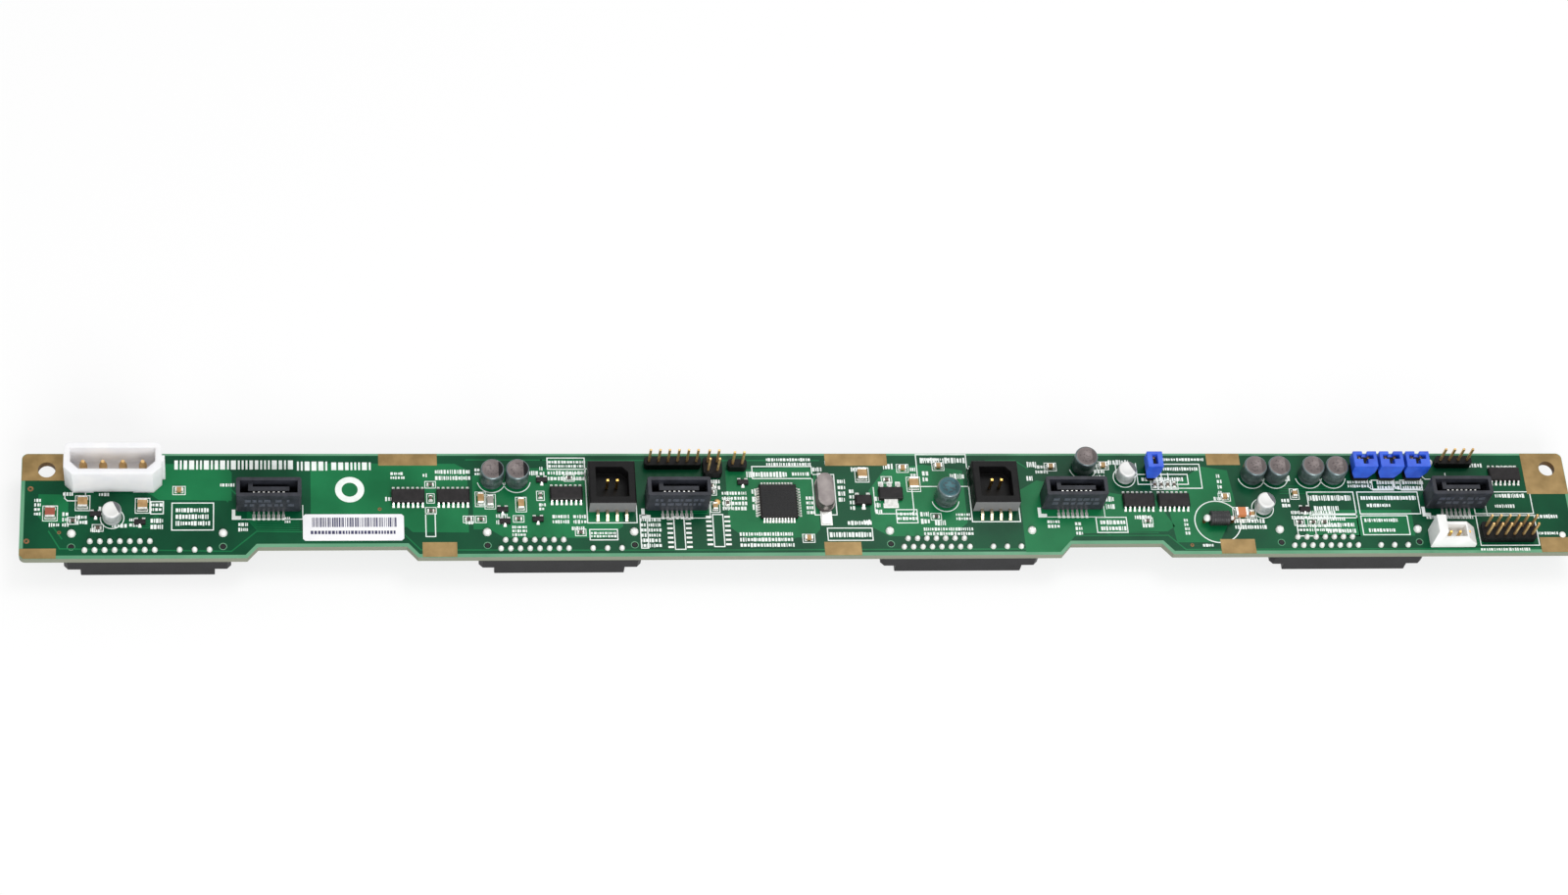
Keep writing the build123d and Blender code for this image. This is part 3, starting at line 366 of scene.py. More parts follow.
# %% [markdown]
# ## Masks by place
# A finish that differs between two stretches of one piece needs a mask. Every piece here keeps
# its object at the origin, so Object coordinates are metres on the board, and a comparison with a
# known place gives a mask of zero and one that also works on a CAD mesh as it is.

# %% Masks
def place_on(tree):
    """Object coordinates, split into X, Y and Z."""
    split = tree.nodes.new("ShaderNodeSeparateXYZ")
    tree.links.new(tree.nodes.new("ShaderNodeTexCoord").outputs["Object"], split.inputs[0])
    return split.outputs


def height_mask(tree, above):
    """One where the surface is higher than a height in metres."""
    return calc(tree, "GREATER_THAN", place_on(tree)["Z"], above)


def x_between(tree, low, high):
    """One between two places along the board, in millimetres."""
    x = place_on(tree)["X"]
    return calc(tree, "MULTIPLY", calc(tree, "GREATER_THAN", x, low * MM),
                calc(tree, "LESS_THAN", x, high * MM))


def squares(tree, x, y):
    """The sum of two squares."""
    return calc(tree, "ADD", calc(tree, "MULTIPLY", x, x), calc(tree, "MULTIPLY", y, y))


# %% [markdown]
# ## Green coat and laminate
# The board is glass-fibre laminate under a glossy green coat. Where there is copper underneath
# the coat looks darker, and along the rim, where there is none, it is pale. The cut edge shows
# the bare laminate, a grey with a little green, and the walls of the two mounting holes are brown.
# The coat and the edge are told apart by height, so the CAD mesh needs no second material.

# %% Board material
COAT_RIM = ((86, 146, 112), (112, 166, 132))
COAT_DARK = ((0, 62, 38), (6, 82, 50))
COAT_LIGHT = ((10, 98, 56), (26, 120, 72))
coat = {"gloss": 0.24, "matt": 0.36, "grain": 2500, "relief": 0.01, "shine": 0.12}
SKIN = 0.004 * MM
# The mounting holes lie this far to both sides of the origin.
HOLE_X = 203.2 * MM
HOLE_WALL = 2.35 * MM

laminate = finish("laminate", *COAT_RIM, blotch=60, **coat)
tree = laminate.node_tree
side_wall = calc(tree, "SUBTRACT", height_mask(tree, REAR + SKIN), height_mask(tree, FACE - SKIN))
recolour(laminate, side_wall, (132, 136, 120), rough=0.75)
place = place_on(tree)
aside = calc(tree, "SUBTRACT", calc(tree, "ABSOLUTE", place["X"]), HOLE_X)
away = squares(tree, aside, place["Y"])
recolour(laminate, calc(tree, "LESS_THAN", away, HOLE_WALL ** 2), (98, 74, 44), rough=0.5)
coat_dark = finish("coat_dark", *COAT_DARK, blotch=70, **coat)
coat_light = finish("coat_light", *COAT_LIGHT, blotch=70, **coat)
print("coat finishes", laminate.name, coat_dark.name, coat_light.name)

# %% [markdown]
# ## Black plastics and resin
# The ports are glass-filled black plastic with a blue sheen, the headers and the receptacles are
# blacker, and chips are moulded resin. A dark surface under white lamps looks greyer than its
# colour says, so each has a low specular level. The front wall of the sideband headers is painted
# paler than the rest, as painted light on the side that faces the front lamp, which a mask on Y gives.

# %% Dark finishes
black = finish("black_housing", (34, 36, 42), (52, 54, 62), 0.36, 0.52, blotch=400, relief=0.03,
               shine=0.25)
header_black = finish("black_header", (8, 8, 9), (20, 19, 20), 0.4, 0.56, blotch=500,
                      relief=0.03, shine=0.15)
side_black = finish("black_shroud_lit_front", (6, 6, 7), (16, 15, 16), 0.4, 0.56, blotch=500,
                    relief=0.03, shine=0.15)
shroud_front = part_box("sideband_header_1")[0].y + 0.02 * MM
tree = side_black.node_tree
# The paler grey of the front wall is painted light on the side that faces the front lamp.
recolour(side_black, calc(tree, "LESS_THAN", place_on(tree)["Y"], shroud_front),
         (126, 126, 127), rough=0.6)
deep_black = finish("black_receptacle", (9, 9, 11), (20, 20, 23), 0.36, 0.52, blotch=300,
                    relief=0.03, shine=0.25)
resin = finish("chip_resin", (20, 18, 19), (36, 33, 34), 0.4, 0.58, blotch=600, relief=0.03,
               shine=0.2)
print("front wall of the sideband headers at y", round(shroud_front / MM, 2), "mm")

# %% [markdown]
# ## Contacts, leads and bare copper
# Contacts are gold or tin over brass. Those of the sideband headers are gold above and dull with
# solder at the foot, so a mask on height changes the colour there. The receptacles' contacts lie
# lower still and are dull all over. The bare pads along the edges have gone brown, and are only
# slightly metallic.

# %% Metal finishes
tin = finish("tinned_metal", (196, 196, 192), (230, 230, 226), 0.26, 0.42, 0.8, blotch=1500)
gold = finish("gold_contacts", (196, 150, 72), (232, 190, 110), 0.22, 0.36, 1.0, blotch=1200)
TINNED_BELOW = FACE + 1.5 * MM
tree = gold.node_tree
recolour(gold, calc(tree, "SUBTRACT", 1.0, height_mask(tree, TINNED_BELOW)), (188, 176, 150))
brass = finish("brass_pins", (190, 150, 94), (228, 194, 134), 0.26, 0.42, 0.7, blotch=900)
pads_metal = finish("bare_pads", (126, 102, 58), (160, 132, 84), 0.34, 0.55, 0.25, blotch=220,
                    grain=3000, relief=0.03, shine=0.35)
crystal_metal = finish("crystal_metal", (86, 80, 80), (120, 114, 112), 0.28, 0.44, 0.8, blotch=300)
copper = finish("copper_lead", (136, 84, 52), (178, 116, 74), 0.3, 0.45, 0.9, blotch=900)
print("contacts are dull below z", round(TINNED_BELOW / MM, 2), "mm")

# %% [markdown]
# ## Pale plastics, ceramics and paper
# The inlet is cream nylon that light goes a little way into, which Subsurface gives. The small
# chip parts are ceramic. Resistors are dark and capacitors tan, but for three stretches of the
# board that are picked out by place.

# %% Pale and coloured finishes
cream = finish("cream_housing", (232, 233, 238), (246, 245, 246), 0.34, 0.46, blotch=120,
               relief=0.01)
moulding = cream.node_tree.nodes["Principled BSDF"]
moulding.inputs["Subsurface Weight"].default_value = 0.7
moulding.inputs["Subsurface Radius"].default_value = (1.0, 1.0, 1.0)
moulding.inputs["Subsurface Scale"].default_value = 3 * MM
white = finish("white_housing", (226, 226, 224), (242, 242, 240), 0.4, 0.5, blotch=200)
tan_ceramic = finish("capacitor_ceramic", (156, 120, 72), (188, 152, 102), 0.4, 0.6, blotch=700)
# Stretches of the board, in millimetres, where a capacitor is red brown, grey or orange
TINTS = ((-210, -198, (150, 74, 52)), (-89.5, -87.0, (150, 146, 138)), (112, 117, (196, 118, 66)))
for start, end, colour in TINTS:
    recolour(tan_ceramic, x_between(tan_ceramic.node_tree, start, end), colour)
dark_ceramic = finish("resistor_ceramic", (40, 36, 34), (104, 88, 70), 0.35, 0.5, blotch=500)
blue = finish("blue_cap", (26, 72, 196), (48, 98, 222), 0.34, 0.5, blotch=300)
ferrite = finish("choke_ferrite", (20, 20, 22), (38, 38, 40), 0.3, 0.5, blotch=900)
label_stock = finish("label_paper", (236, 236, 240), (247, 247, 248), 0.5, 0.65, blotch=150)
print("tinted stretches", len(TINTS))

# %% [markdown]
# ## Which node wears which finish
# Each CAD node takes the finish of the first entry that its name starts with, so the longer name
# of two that start alike comes first. A node that is missed would be printed here.

# %% Finishes of the CAD nodes
FINISHES = (
    ("circuit_board", laminate), ("ground_pads", pads_metal), ("paper_label", label_stock),
    ("drive_receptacle", deep_black), ("drive_contacts", gold), ("receptacle_locks", tin),
    ("data_port_contacts", tin), ("data_port", black), ("power_inlet_housing", cream),
    ("power_inlet_pins", brass), ("sideband_header", side_black), ("sideband_pins", gold),
    ("logic_chips", resin), ("logic_chip_legs", tin), ("controller_chip", resin),
    ("controller_legs", tin), ("crystal_can", crystal_metal), ("crystal_pads", tin),
    ("regulator_body", resin), ("regulator_legs", tin), ("small_regulator_body", resin),
    ("small_regulator_legs", tin), ("chip_capacitors", tan_ceramic),
    ("chip_resistors", dark_ceramic), ("chip_part_caps", tin), ("small_transistors", resin),
    ("small_transistor_legs", tin), ("pin_header", header_black), ("header_pins", brass),
    ("jumper_headers", header_black), ("jumper_pins", brass), ("jumper_cap", blue),
    ("wire_connector", white), ("wire_contacts", gold), ("choke_body", ferrite),
    ("choke_leads", copper),
)


def listed(table, name):
    """The value of the first entry that a name starts with, or None."""
    return next((value for start, value in table if name.startswith(start)), None)


for name, node in nodes.items():
    for material_slot in node.material_slots:
        material_slot.material = listed(FINISHES, name)
print("nodes with no finish:", [name for name in nodes if listed(FINISHES, name) is None])

# %% [markdown]
# ## Boxes and strokes
# Thin layers are built flat: a box for a straight line, a thin plate for an area. Each layer is
# one mesh, so hundreds of strokes stay one object. Places are in metres, sizes in millimetres.
# Two faces at exactly the same height flicker and go black, so every layer has its own height,
# and strokes that meet in a corner differ by a few thousandths of a millimetre.

# %% Boxes and strokes
# Heights of the layers over the face, in millimetres
COAT, FIELD, TRACK, PAD, PRINT_INK, INK = 0.012, 0.02, 0.028, 0.04, 0.046, 0.052
STAGGER = 0.004
BAYS = range(1, 5)


def add_piece(name, bm, material):
    """Makes a bmesh into a piece that rides on the board."""
    piece = mesh_object(name, bm, material)
    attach(piece, "root")
    print(name, "faces", len(piece.data.polygons))
    return piece


def box(bm, low, high):
    """An upright box between two corners."""
    low, high = Vector(low), Vector(high)
    size = Matrix.Diagonal((*(high - low), 1))
    bmesh.ops.create_cube(bm, size=1.0, matrix=Matrix.Translation((low + high) / 2) @ size)


def stroke(bm, start, end, width, thick, base=FACE):
    """A straight line of ink or copper on the board, from start to end."""
    start, end = Vector(start[:2]).to_3d(), Vector(end[:2]).to_3d()
    run = end - start
    middle = (start + end) / 2 + Vector((0, 0, base + thick * MM / 2))
    turn_z = Matrix.Rotation(math.atan2(run.y, run.x), 4, "Z")
    size = Matrix.Diagonal((run.length + width * MM, width * MM, thick * MM, 1))
    bmesh.ops.create_cube(bm, size=1.0, matrix=Matrix.Translation(middle) @ turn_z @ size)


def path(bm, points, width, thick, closed=False, base=FACE):
    """Strokes from point to point."""
    pairs = list(zip(points, points[1:]))
    if closed:
        pairs.append((points[-1], points[0]))
    for number, (start, end) in enumerate(pairs):
        stroke(bm, start, end, width, thick + (number % 2) * STAGGER, base)


def slab(bm, low, high, thick, base=FACE):
    """A thin box on a face, from one corner to another; its thickness is in millimetres."""
    box(bm, (low[0], low[1], base), (high[0], high[1], base + thick * MM))


print("layers up to", INK + 2 * STAGGER, "mm over the face")

# %% [markdown]
# ## Plates
# An area of any outline is filled with triangles, turned to face up and extruded by its thickness.
# The fill takes inner loops as holes, so a plate can be a ring, or leave room for the receptacles'
# locating pegs and the two mounting holes.

# %% Plates
PEG_BESIDE, PEG_UP, PEG_CLEAR = 3.2, 2.75, 1.05
HOLE_CLEAR = 2.6


def plate(bm, outline, thick, holes=(), base=FACE):
    """A flat area with holes, lifted to its thickness."""
    edges = []
    for loop in (outline, *holes):
        verts = [bm.verts.new((x, y, base)) for x, y, *_ in loop]
        edges += [bm.edges.new((a, b)) for a, b in zip(verts, verts[1:] + verts[:1])]
    flat = bmesh.ops.triangle_fill(bm, edges=edges, use_beauty=True)["geom"]
    faces = [item for item in flat if isinstance(item, bmesh.types.BMFace)]
    bmesh.ops.recalc_face_normals(bm, faces=faces)
    if faces and faces[0].normal.z < 0:
        bmesh.ops.reverse_faces(bm, faces=faces)
    made = bmesh.ops.extrude_face_region(bm, geom=faces)["geom"]
    top = [item for item in made if isinstance(item, bmesh.types.BMVert)]
    bmesh.ops.translate(bm, verts=top, vec=(0, 0, thick * MM))
    bmesh.ops.recalc_face_normals(bm, faces=bm.faces)


def circle(centre, radius, count):
    """Points round a circle; the radius is in millimetres."""
    steps = [2 * math.pi * i / count for i in range(count)]
    return [(centre[0] + radius * MM * math.cos(a), centre[1] + radius * MM * math.sin(a))
            for a in steps]


pegs = []
for bay in BAYS:
    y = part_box(f"drive_receptacle_{bay}")[0].y + PEG_UP * MM
    contact_low, contact_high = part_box(f"drive_contacts_{bay}")
    pegs += [(contact_low.x - PEG_BESIDE * MM, y), (contact_high.x + PEG_BESIDE * MM, y)]
peg_cuts = [circle(place, PEG_CLEAR, 16) for place in pegs]
hole_cuts = [circle((x, 0.0), HOLE_CLEAR, 32) for x in (-HOLE_X, HOLE_X)]
print("room for", len(peg_cuts), "pegs and", len(hole_cuts), "mounting holes")

# %% [markdown]
# ## Reading the CAD solids
# Many small parts share one CAD node, and their new pieces need the place of each. Points that are
# joined by edges belong to one solid, so walking from point to point along the edges collects it.
# It is done on a copy with its doubles merged, because a CAD mesh is loose triangles.

# %% Separate solids
def loose_parts(name):
    """The points of each separate solid in a CAD node."""
    bm = bmesh.new()
    bm.from_mesh(nodes[name].data)
    bmesh.ops.remove_doubles(bm, verts=bm.verts, dist=0.002 * MM)
    seen, parts = set(), []
    for first in bm.verts:
        if first in seen:
            continue
        seen.add(first)
        waiting, points = [first], []
        while waiting:
            vert = waiting.pop()
            points.append(vert.co.copy())
            for edge in vert.link_edges:
                other = edge.other_vert(vert)
                if other not in seen:
                    seen.add(other)
                    waiting.append(other)
        parts.append(points)
    bm.free()
    return parts


def extent(points):
    """Lowest and highest corner of some points."""
    low = Vector([min(p[i] for p in points) for i in range(3)])
    high = Vector([max(p[i] for p in points) for i in range(3)])
    return low, high


print("chip legs found:", len(loose_parts("logic_chip_legs")))

# %% [markdown]
# ## Copper under the coat
# Copper lies as large fields with slanted corners and as thin tracks. Under the coat it only
# shows as a change of green and a slight step, so each is a plate or a stroke a few hundredths of
# a millimetre thick. The dark field stops a little inside the board's edge, which leaves the pale
# rim, and goes round the holes for the locating pegs.

# %% Copper over the whole board
# The pale rim is narrower at the top. The notches are given from the board's left end.
RIM, TOP_RIM, CORNER = 1.0, 0.6, 1.0
NOTCHES = ((57.6, 102.4), (273.0, 304.3))
NOTCH_RISE, NOTCH_SLOPE = 3.2, 2.8


def rim_outline():
    """The board's outline moved inwards, with the two notches, in metres."""
    left, right = board_low.x / MM + RIM, board_high.x / MM - RIM
    bottom, top = board_low.y / MM + RIM, board_high.y / MM - TOP_RIM
    points = [(left, bottom + CORNER), (left + CORNER, bottom)]
    for start, end in NOTCHES:
        start, end = start + left - RIM, end + left - RIM
        points += [(start, bottom), (start + NOTCH_SLOPE, bottom + NOTCH_RISE),
                   (end - NOTCH_SLOPE, bottom + NOTCH_RISE), (end, bottom)]
    points += [(right - CORNER, bottom), (right, bottom + CORNER), (right, top - CORNER),
               (right - CORNER, top), (left + CORNER, top), (left, top - CORNER)]
    return [(x * MM, y * MM) for x, y in points]


bm = bmesh.new()
plate(bm, rim_outline(), COAT, peg_cuts + hole_cuts)
add_piece("copper_dark", bm, coat_dark)
bm = bmesh.new()
plate(bm, rim_outline(), COAT, hole_cuts, REAR - COAT * MM)
add_piece("copper_dark_rear", bm, coat_dark)

# %% [markdown]
# ## Light copper fields
# Some stretches show a lighter green with slanted corners. Their outlines are laid from the
# picture, corner by corner, and end in front of the parts that hide them. An image texture
# could paint them, but a plate also has the slight step that catches the light.

# %% Light fields
FIELDS = (
    ((318, 474), (470, 474), (483, 480), (483, 541), (424, 541), (418, 536), (322, 536), (318, 532)),
    ((488, 486), (512, 478), (640, 478), (640, 535), (622, 546), (520, 546), (505, 538), (488, 538)),
    ((745, 480), (828, 476), (836, 484), (836, 538), (828, 546), (760, 546), (745, 535)),
    ((905, 480), (945, 474), (985, 480), (985, 532), (968, 545), (905, 545), (888, 536), (888, 500)),
    ((1041, 500), (1060, 490), (1180, 510), (1196, 536), (1188, 541), (1094, 543), (1076, 561),
     (1041, 561)),
    ((1190, 500), (1232, 476), (1258, 480), (1262, 516), (1240, 552), (1196, 552)),
    ((150, 476), (228, 476), (236, 484), (236, 512), (160, 512), (150, 506)),
    ((1330, 520), (1440, 520), (1440, 546), (1330, 546)),
    ((34, 508), (58, 508), (66, 516), (66, 536), (40, 536), (34, 530)),
)
bm = bmesh.new()
for field in FIELDS:
    plate(bm, [on_board(*p) for p in field], FIELD)
add_piece("copper_fields", bm, coat_light)

# %% [markdown]
# ## Tracks
# Tracks leave the contact rows and run along the board in bundles, turning by 45 degrees. They
# are listed one by one for the few that show well in the picture, and in bundles of evenly spaced
# lines elsewhere. A curve could draw them too, but boxes are a mesh at once and stay flat.

# %% Tracks
TRACKS = (
    ((46, 545), (58, 562), (236, 562), (262, 542), (414, 542), (432, 558), (620, 558)),
    ((1076, 560), (1092, 545), (1188, 545), (1204, 559), (1560, 559)),
    ((180, 492), (226, 492), (240, 505)), ((180, 496), (222, 496), (236, 509)),
    ((180, 500), (218, 500), (232, 513)), ((322, 508), (334, 520), (350, 520)),
    ((640, 558), (1070, 558)), ((560, 470), (712, 470)), ((730, 470), (840, 470)),
    ((60, 552), (50, 540)), ((482, 470), (560, 470)), ((1010, 470), (1040, 470), (1052, 478)),
    ((700, 500), (724, 500), (736, 492)), ((1460, 560), (1530, 560)),
)
BUNDLES = (
    (((252, 530), (262, 540), (306, 540)), 5, -2.2), (((700, 512), (724, 512), (742, 504)), 6, 2.0),
    (((770, 545), (800, 545), (812, 538)), 4, 2.4), (((914, 480), (960, 480), (972, 488)), 4, 2.2),
    (((1090, 520), (1130, 536), (1178, 536)), 5, 2.2), (((1310, 496), (1360, 496), (1372, 488)), 4, 2.4),
    (((1466, 556), (1500, 556), (1514, 548)), 4, -2.2), (((560, 535), (600, 535), (612, 528)), 4, 2.0),
    (((110, 540), (150, 540), (160, 532)), 4, -2.2), (((330, 546), (392, 546), (402, 539)), 3, -2.4),
)


def lay_bundles(bm, bundles, width, thick, base=FACE):
    """Evenly spaced tracks: each bundle has the points of its first one, a count and a step."""
    for points, count, step in bundles:
        for i in range(count):
            path(bm, [on_board(px, py + i * step) for px, py in points], width, thick, base=base)


bm = bmesh.new()
for points in TRACKS:
    path(bm, [on_board(*p) for p in points], 0.35, TRACK)
lay_bundles(bm, BUNDLES, 0.22, TRACK + 0.001)
add_piece("copper_tracks", bm, coat_light)

# %% [markdown]
# ## Tracks on the rear
# The rear side is hidden in the picture. It gets four long bundles that run between the
# receptacles, as such boards have them, laid by points of the same picture.

# %% Rear tracks
REAR_BUNDLES = (
    (((60, 480), (240, 480), (262, 502), (420, 502), (440, 482), (800, 482)), 6, 2.6),
    (((300, 520), (470, 520), (486, 504), (900, 504), (915, 519), (1180, 519)), 5, 2.6),
    (((820, 476), (1250, 476), (1270, 496), (1560, 496)), 6, 2.6),
    (((1120, 534), (1240, 534), (1262, 512), (1540, 512)), 4, 2.6),
)
bm = bmesh.new()
lay_bundles(bm, REAR_BUNDLES, 0.3, TRACK, REAR - (TRACK + STAGGER) * MM)
add_piece("copper_tracks_rear", bm, coat_light)

# %% [markdown]
# ## Solder domes
# Every part that goes through the board ends in a small dome of solder. The domes are placed by
# reading the CAD solids: where a tail comes out of a face, a dome goes round it. A dome is the
# upper or the lower half of a flattened sphere, cut off just inside the board.

# %% Solder domes
SINK = 0.01 * MM
TAIL_DOME = (0.76, 1.25)
LOCK_DOME = (1.15, 1.3)
REAR_DOMES = (("header_pins", 0.85), ("jumper_pins", 0.85), ("power_inlet_pins", 1.5),
              ("choke_leads", 1.0))
REAR_DOME_HEIGHT = -0.95


def dome(bm, x, y, face, radius, height):
    """A low dome of solder on a face; a negative height hangs under the rear face."""
    size = Matrix.Diagonal((radius * MM, radius * MM, abs(height) * MM, 1))
    made = bmesh.ops.create_uvsphere(bm, u_segments=14, v_segments=10, radius=1.0,
                                     matrix=Matrix.Translation((x, y, face)) @ size)
    verts = made["verts"]
    geom = verts + list({e for v in verts for e in v.link_edges})
    geom += list({f for v in verts for f in v.link_faces})
    cut = math.copysign(SINK, height)
    bmesh.ops.bisect_plane(bm, geom=geom, plane_co=(0, 0, face - cut),
                           plane_no=(0, 0, math.copysign(1, height)), clear_inner=True)


def dome_on(bm, points, face, radius, height):
    """A dome over the middle of some points."""
    low, high = extent(points)
    dome(bm, (low.x + high.x) / 2, (low.y + high.y) / 2, face, radius, height)


solder = finish("solder", (222, 222, 218), (246, 246, 243), 0.3, 0.5, 0.1, blotch=900, relief=0.02)
bm = bmesh.new()
for bay in BAYS:
    for points in loose_parts(f"drive_contacts_{bay}"):
        tips = [p for p in points if p.z > FACE + 0.5 * MM]
        if tips:
            dome_on(bm, tips, FACE, *TAIL_DOME)
for points in loose_parts("receptacle_locks"):
    dome_on(bm, points, FACE, *LOCK_DOME)
for name, radius in REAR_DOMES:
    for points in loose_parts(name):
        tips = [p for p in points if p.z < REAR - 0.5 * MM]
        dome_on(bm, tips, REAR, radius, REAR_DOME_HEIGHT)
add_piece("solder_domes", bm, solder).data.shade_smooth()

# %% [markdown]
# ## Solder pads
# Every part that lies on the board sits on tinned pads. Under each metal foot of the CAD goes a
# pad a little larger than the foot, and reading the feet off the solids keeps each pad under its
# own leg. Two chips in the middle were never fitted: their places show two rows of bare pads,
# which are laid by points of the picture.

# %% Solder pads
PAD_GROWTH = (
    ("chip_part_caps", 0.15), ("logic_chip_legs", 0.12), ("controller_legs", 0.08),
    ("regulator_legs", 0.25), ("small_regulator_legs", 0.2), ("small_transistor_legs", 0.22),
    ("crystal_pads", 0.35),
)
NEAR = 0.01 * MM
EMPTY_CHIPS = ((690.4, 525.4, 700.6, 557.2), (729.3, 523.4, 739.5, 554.7))
EMPTY_PADS, EMPTY_PAD_BESIDE = 7, 1.1
EMPTY_PAD_LENGTH, EMPTY_PAD_WIDTH = 1.5, 0.56


def foot_pad(bm, points, aside, front, length, base=FACE):
    """A pad from in front of a foot to some way under it; lengths in millimetres."""
    low, high = extent(points)
    slab(bm, (low.x - aside * MM, low.y - front * MM),
         (high.x + aside * MM, low.y + length * MM), PAD, base)


bm = bmesh.new()
for name, grow in PAD_GROWTH:
    for points in loose_parts(name):
        low, high = extent([p for p in points if p.z < FACE + NEAR])
        room = Vector((grow, grow, 0)) * MM
        slab(bm, low - room, high + room, PAD)
for bay in BAYS:
    for points in loose_parts(f"data_port_contacts_{bay}"):
        foot_pad(bm, points, 0.12, 0.5, 1.2)
    for points in loose_parts(f"drive_contacts_{bay}"):
        if extent(points)[1].z < REAR + NEAR:
            foot_pad(bm, points, 0.15, 0.1, 1.2, REAR - PAD * MM)
half = Vector((EMPTY_PAD_LENGTH, EMPTY_PAD_WIDTH, 0)) * MM / 2
for px0, py0, px1, py1 in EMPTY_CHIPS:
    a, b = on_board(px0, py0), on_board(px1, py1)
    for i in range(EMPTY_PADS):
        y = b.y + (a.y - b.y) * (i + 0.5) / EMPTY_PADS
        for x in (a.x - EMPTY_PAD_BESIDE * MM, b.x + EMPTY_PAD_BESIDE * MM):
            middle = Vector((x, y, 0))
            slab(bm, middle - half, middle + half, PAD)
add_piece("solder_pads", bm, solder)

# %% [markdown]
# ## White ink round the parts
# The ink marks where each part goes. Frames of the chip parts and the headers, and the corner
# marks of the ports, are drawn round the solids themselves, so they move with them. All the ink
# of the front goes into one bmesh, in this cell and the next three, and becomes one piece.

# %% Ink round the solids
CHIP_FRAME_WIDTH, CHIP_FRAME_ROOM = 0.2, 0.6
HEADER_FRAME_WIDTH, HEADER_FRAME_ROOM, HEADER_FEET = 0.3, 0.35, 2.9
# A short bar behind each end of a header: place of its middle, half its length, and its two edges
HEADER_BAR_IN, HEADER_BAR_HALF, HEADER_BAR_FROM, HEADER_BAR_TO = 1.2, 1.0, 0.75, 1.15
ink = finish("white_ink", (228, 236, 231), (246, 250, 247), 0.5, 0.7, blotch=600, grain=5000)
bm = bmesh.new()


def frame_round(bm, low, high, width, room):
    """A rectangle of ink round two corners; width and room are in millimetres."""
    x0, y0, x1, y1 = low.x - room * MM, low.y - room * MM, high.x + room * MM, high.y + room * MM
    path(bm, [(x0, y0), (x1, y0), (x1, y1), (x0, y1)], width, INK, closed=True)


caps = [extent(points) for points in loose_parts("chip_part_caps")]
for name in ("chip_capacitors", "chip_resistors"):
    for points in loose_parts(name):
        low, high = extent(points)
        middle = (low + high) / 2
        (low_a, high_a), (low_b, high_b) = sorted(
            caps, key=lambda cap: ((cap[0] + cap[1]) / 2 - middle).length)[:2]
        frame_round(bm, Vector(map(min, low_a, low_b)), Vector(map(max, high_a, high_b)),
                    CHIP_FRAME_WIDTH, CHIP_FRAME_ROOM)
for number in (1, 2):
    low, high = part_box(f"sideband_header_{number}")
    frame_round(bm, low - Vector((0, HEADER_FEET, 0)) * MM, high,
                HEADER_FRAME_WIDTH, HEADER_FRAME_ROOM)
    for x in (low.x + HEADER_BAR_IN * MM, high.x - HEADER_BAR_IN * MM):
        slab(bm, (x - HEADER_BAR_HALF * MM, high.y + HEADER_BAR_FROM * MM),
             (x + HEADER_BAR_HALF * MM, high.y + HEADER_BAR_TO * MM), INK)
for bay in BAYS:
    low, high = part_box(f"data_port_{bay}")
    x, y, right = low.x - 0.5 * MM, low.y - 2.2 * MM, high.x + 0.4 * MM
    slab(bm, (x - 0.6 * MM, y), (x + 1.8 * MM, y + 1.1 * MM), INK)
    slab(bm, (x - 0.6 * MM, y + 1.1 * MM), (x + 0.3 * MM, y + 3.0 * MM), INK)
    line = y + 0.1 * MM
    path(bm, [(x + 1.8 * MM, line), (right, line), (right, low.y + 2.0 * MM)], 0.2, INK)
print("frames and corner marks", len(bm.faces) // 6, "strokes")

# %% [markdown]
# ## Frames and brackets
# Other frames go round groups of small parts or rows of print. They are placed by two opposite
# corners in the picture. A bracket is open at the top and has its two lower corners cut off, as
# the marks under the jumpers have.

# %% Frames and brackets
FRAME_WIDTH, BRACKET_WIDTH, BRACKET_CUT = 0.28, 0.26, 0.7
FRAMES = (
    (174, 515.2, 217.3, 541.3), (1189, 473.7, 1229.8, 498), (1337, 502, 1384, 525),
    (1388, 502, 1449, 524), (1388, 526, 1435, 545), (1503, 502, 1561, 524), (1503, 526, 1561, 556),
    *EMPTY_CHIPS, (843, 537, 888, 549), (939, 464, 990, 496), (1164, 484, 1216, 494),
    (657, 524, 664, 556), (1116, 527, 1147, 542), (1340, 524, 1384, 546), (1322, 528, 1384, 546),
    (772, 476, 832, 488), (1405, 490, 1426, 500), (1434, 490, 1455, 500),
    (914, 519, 935, 532), (152, 514, 165, 526), (566, 468, 604, 479),
    (438, 523, 448, 545), (606, 538, 634, 548), (586, 483, 604, 489), (832, 484, 854, 524),
)
BRACKETS = (
    (1401, 489, 1427, 499), (1428, 489, 1455, 499), (1457, 483, 1480, 489), (1174, 483, 1196, 490),
    (893, 497, 932, 523), (1009, 478, 1040, 500), (1143, 473, 1164, 487), (62, 506, 84, 514),
)
for px0, py0, px1, py1 in BRACKETS:
    a, b, cut = on_board(px0, py0), on_board(px1, py1), BRACKET_CUT * MM
    path(bm, [(a.x, a.y), (a.x, b.y + cut), (a.x + cut, b.y), (b.x - cut, b.y), (b.x, b.y + cut),
              (b.x, a.y)], BRACKET_WIDTH, INK + 2 * STAGGER)
for px0, py0, px1, py1 in FRAMES:
    a, b = on_board(px0, py0), on_board(px1, py1)
    path(bm, [(a.x, a.y), (b.x, a.y), (b.x, b.y), (a.x, b.y)], FRAME_WIDTH, INK, closed=True)
print("frames", len(FRAMES), "brackets", len(BRACKETS))

# %% [markdown]
# ## Rings
# Each can and the choke stand in a printed ring. A tall can's ring is only drawn in front, where
# it shows. One broad plain ring lies over the label. A whole ring is a round plate with a round
# hole, and a part of one is a plate with the two arcs as its outline.

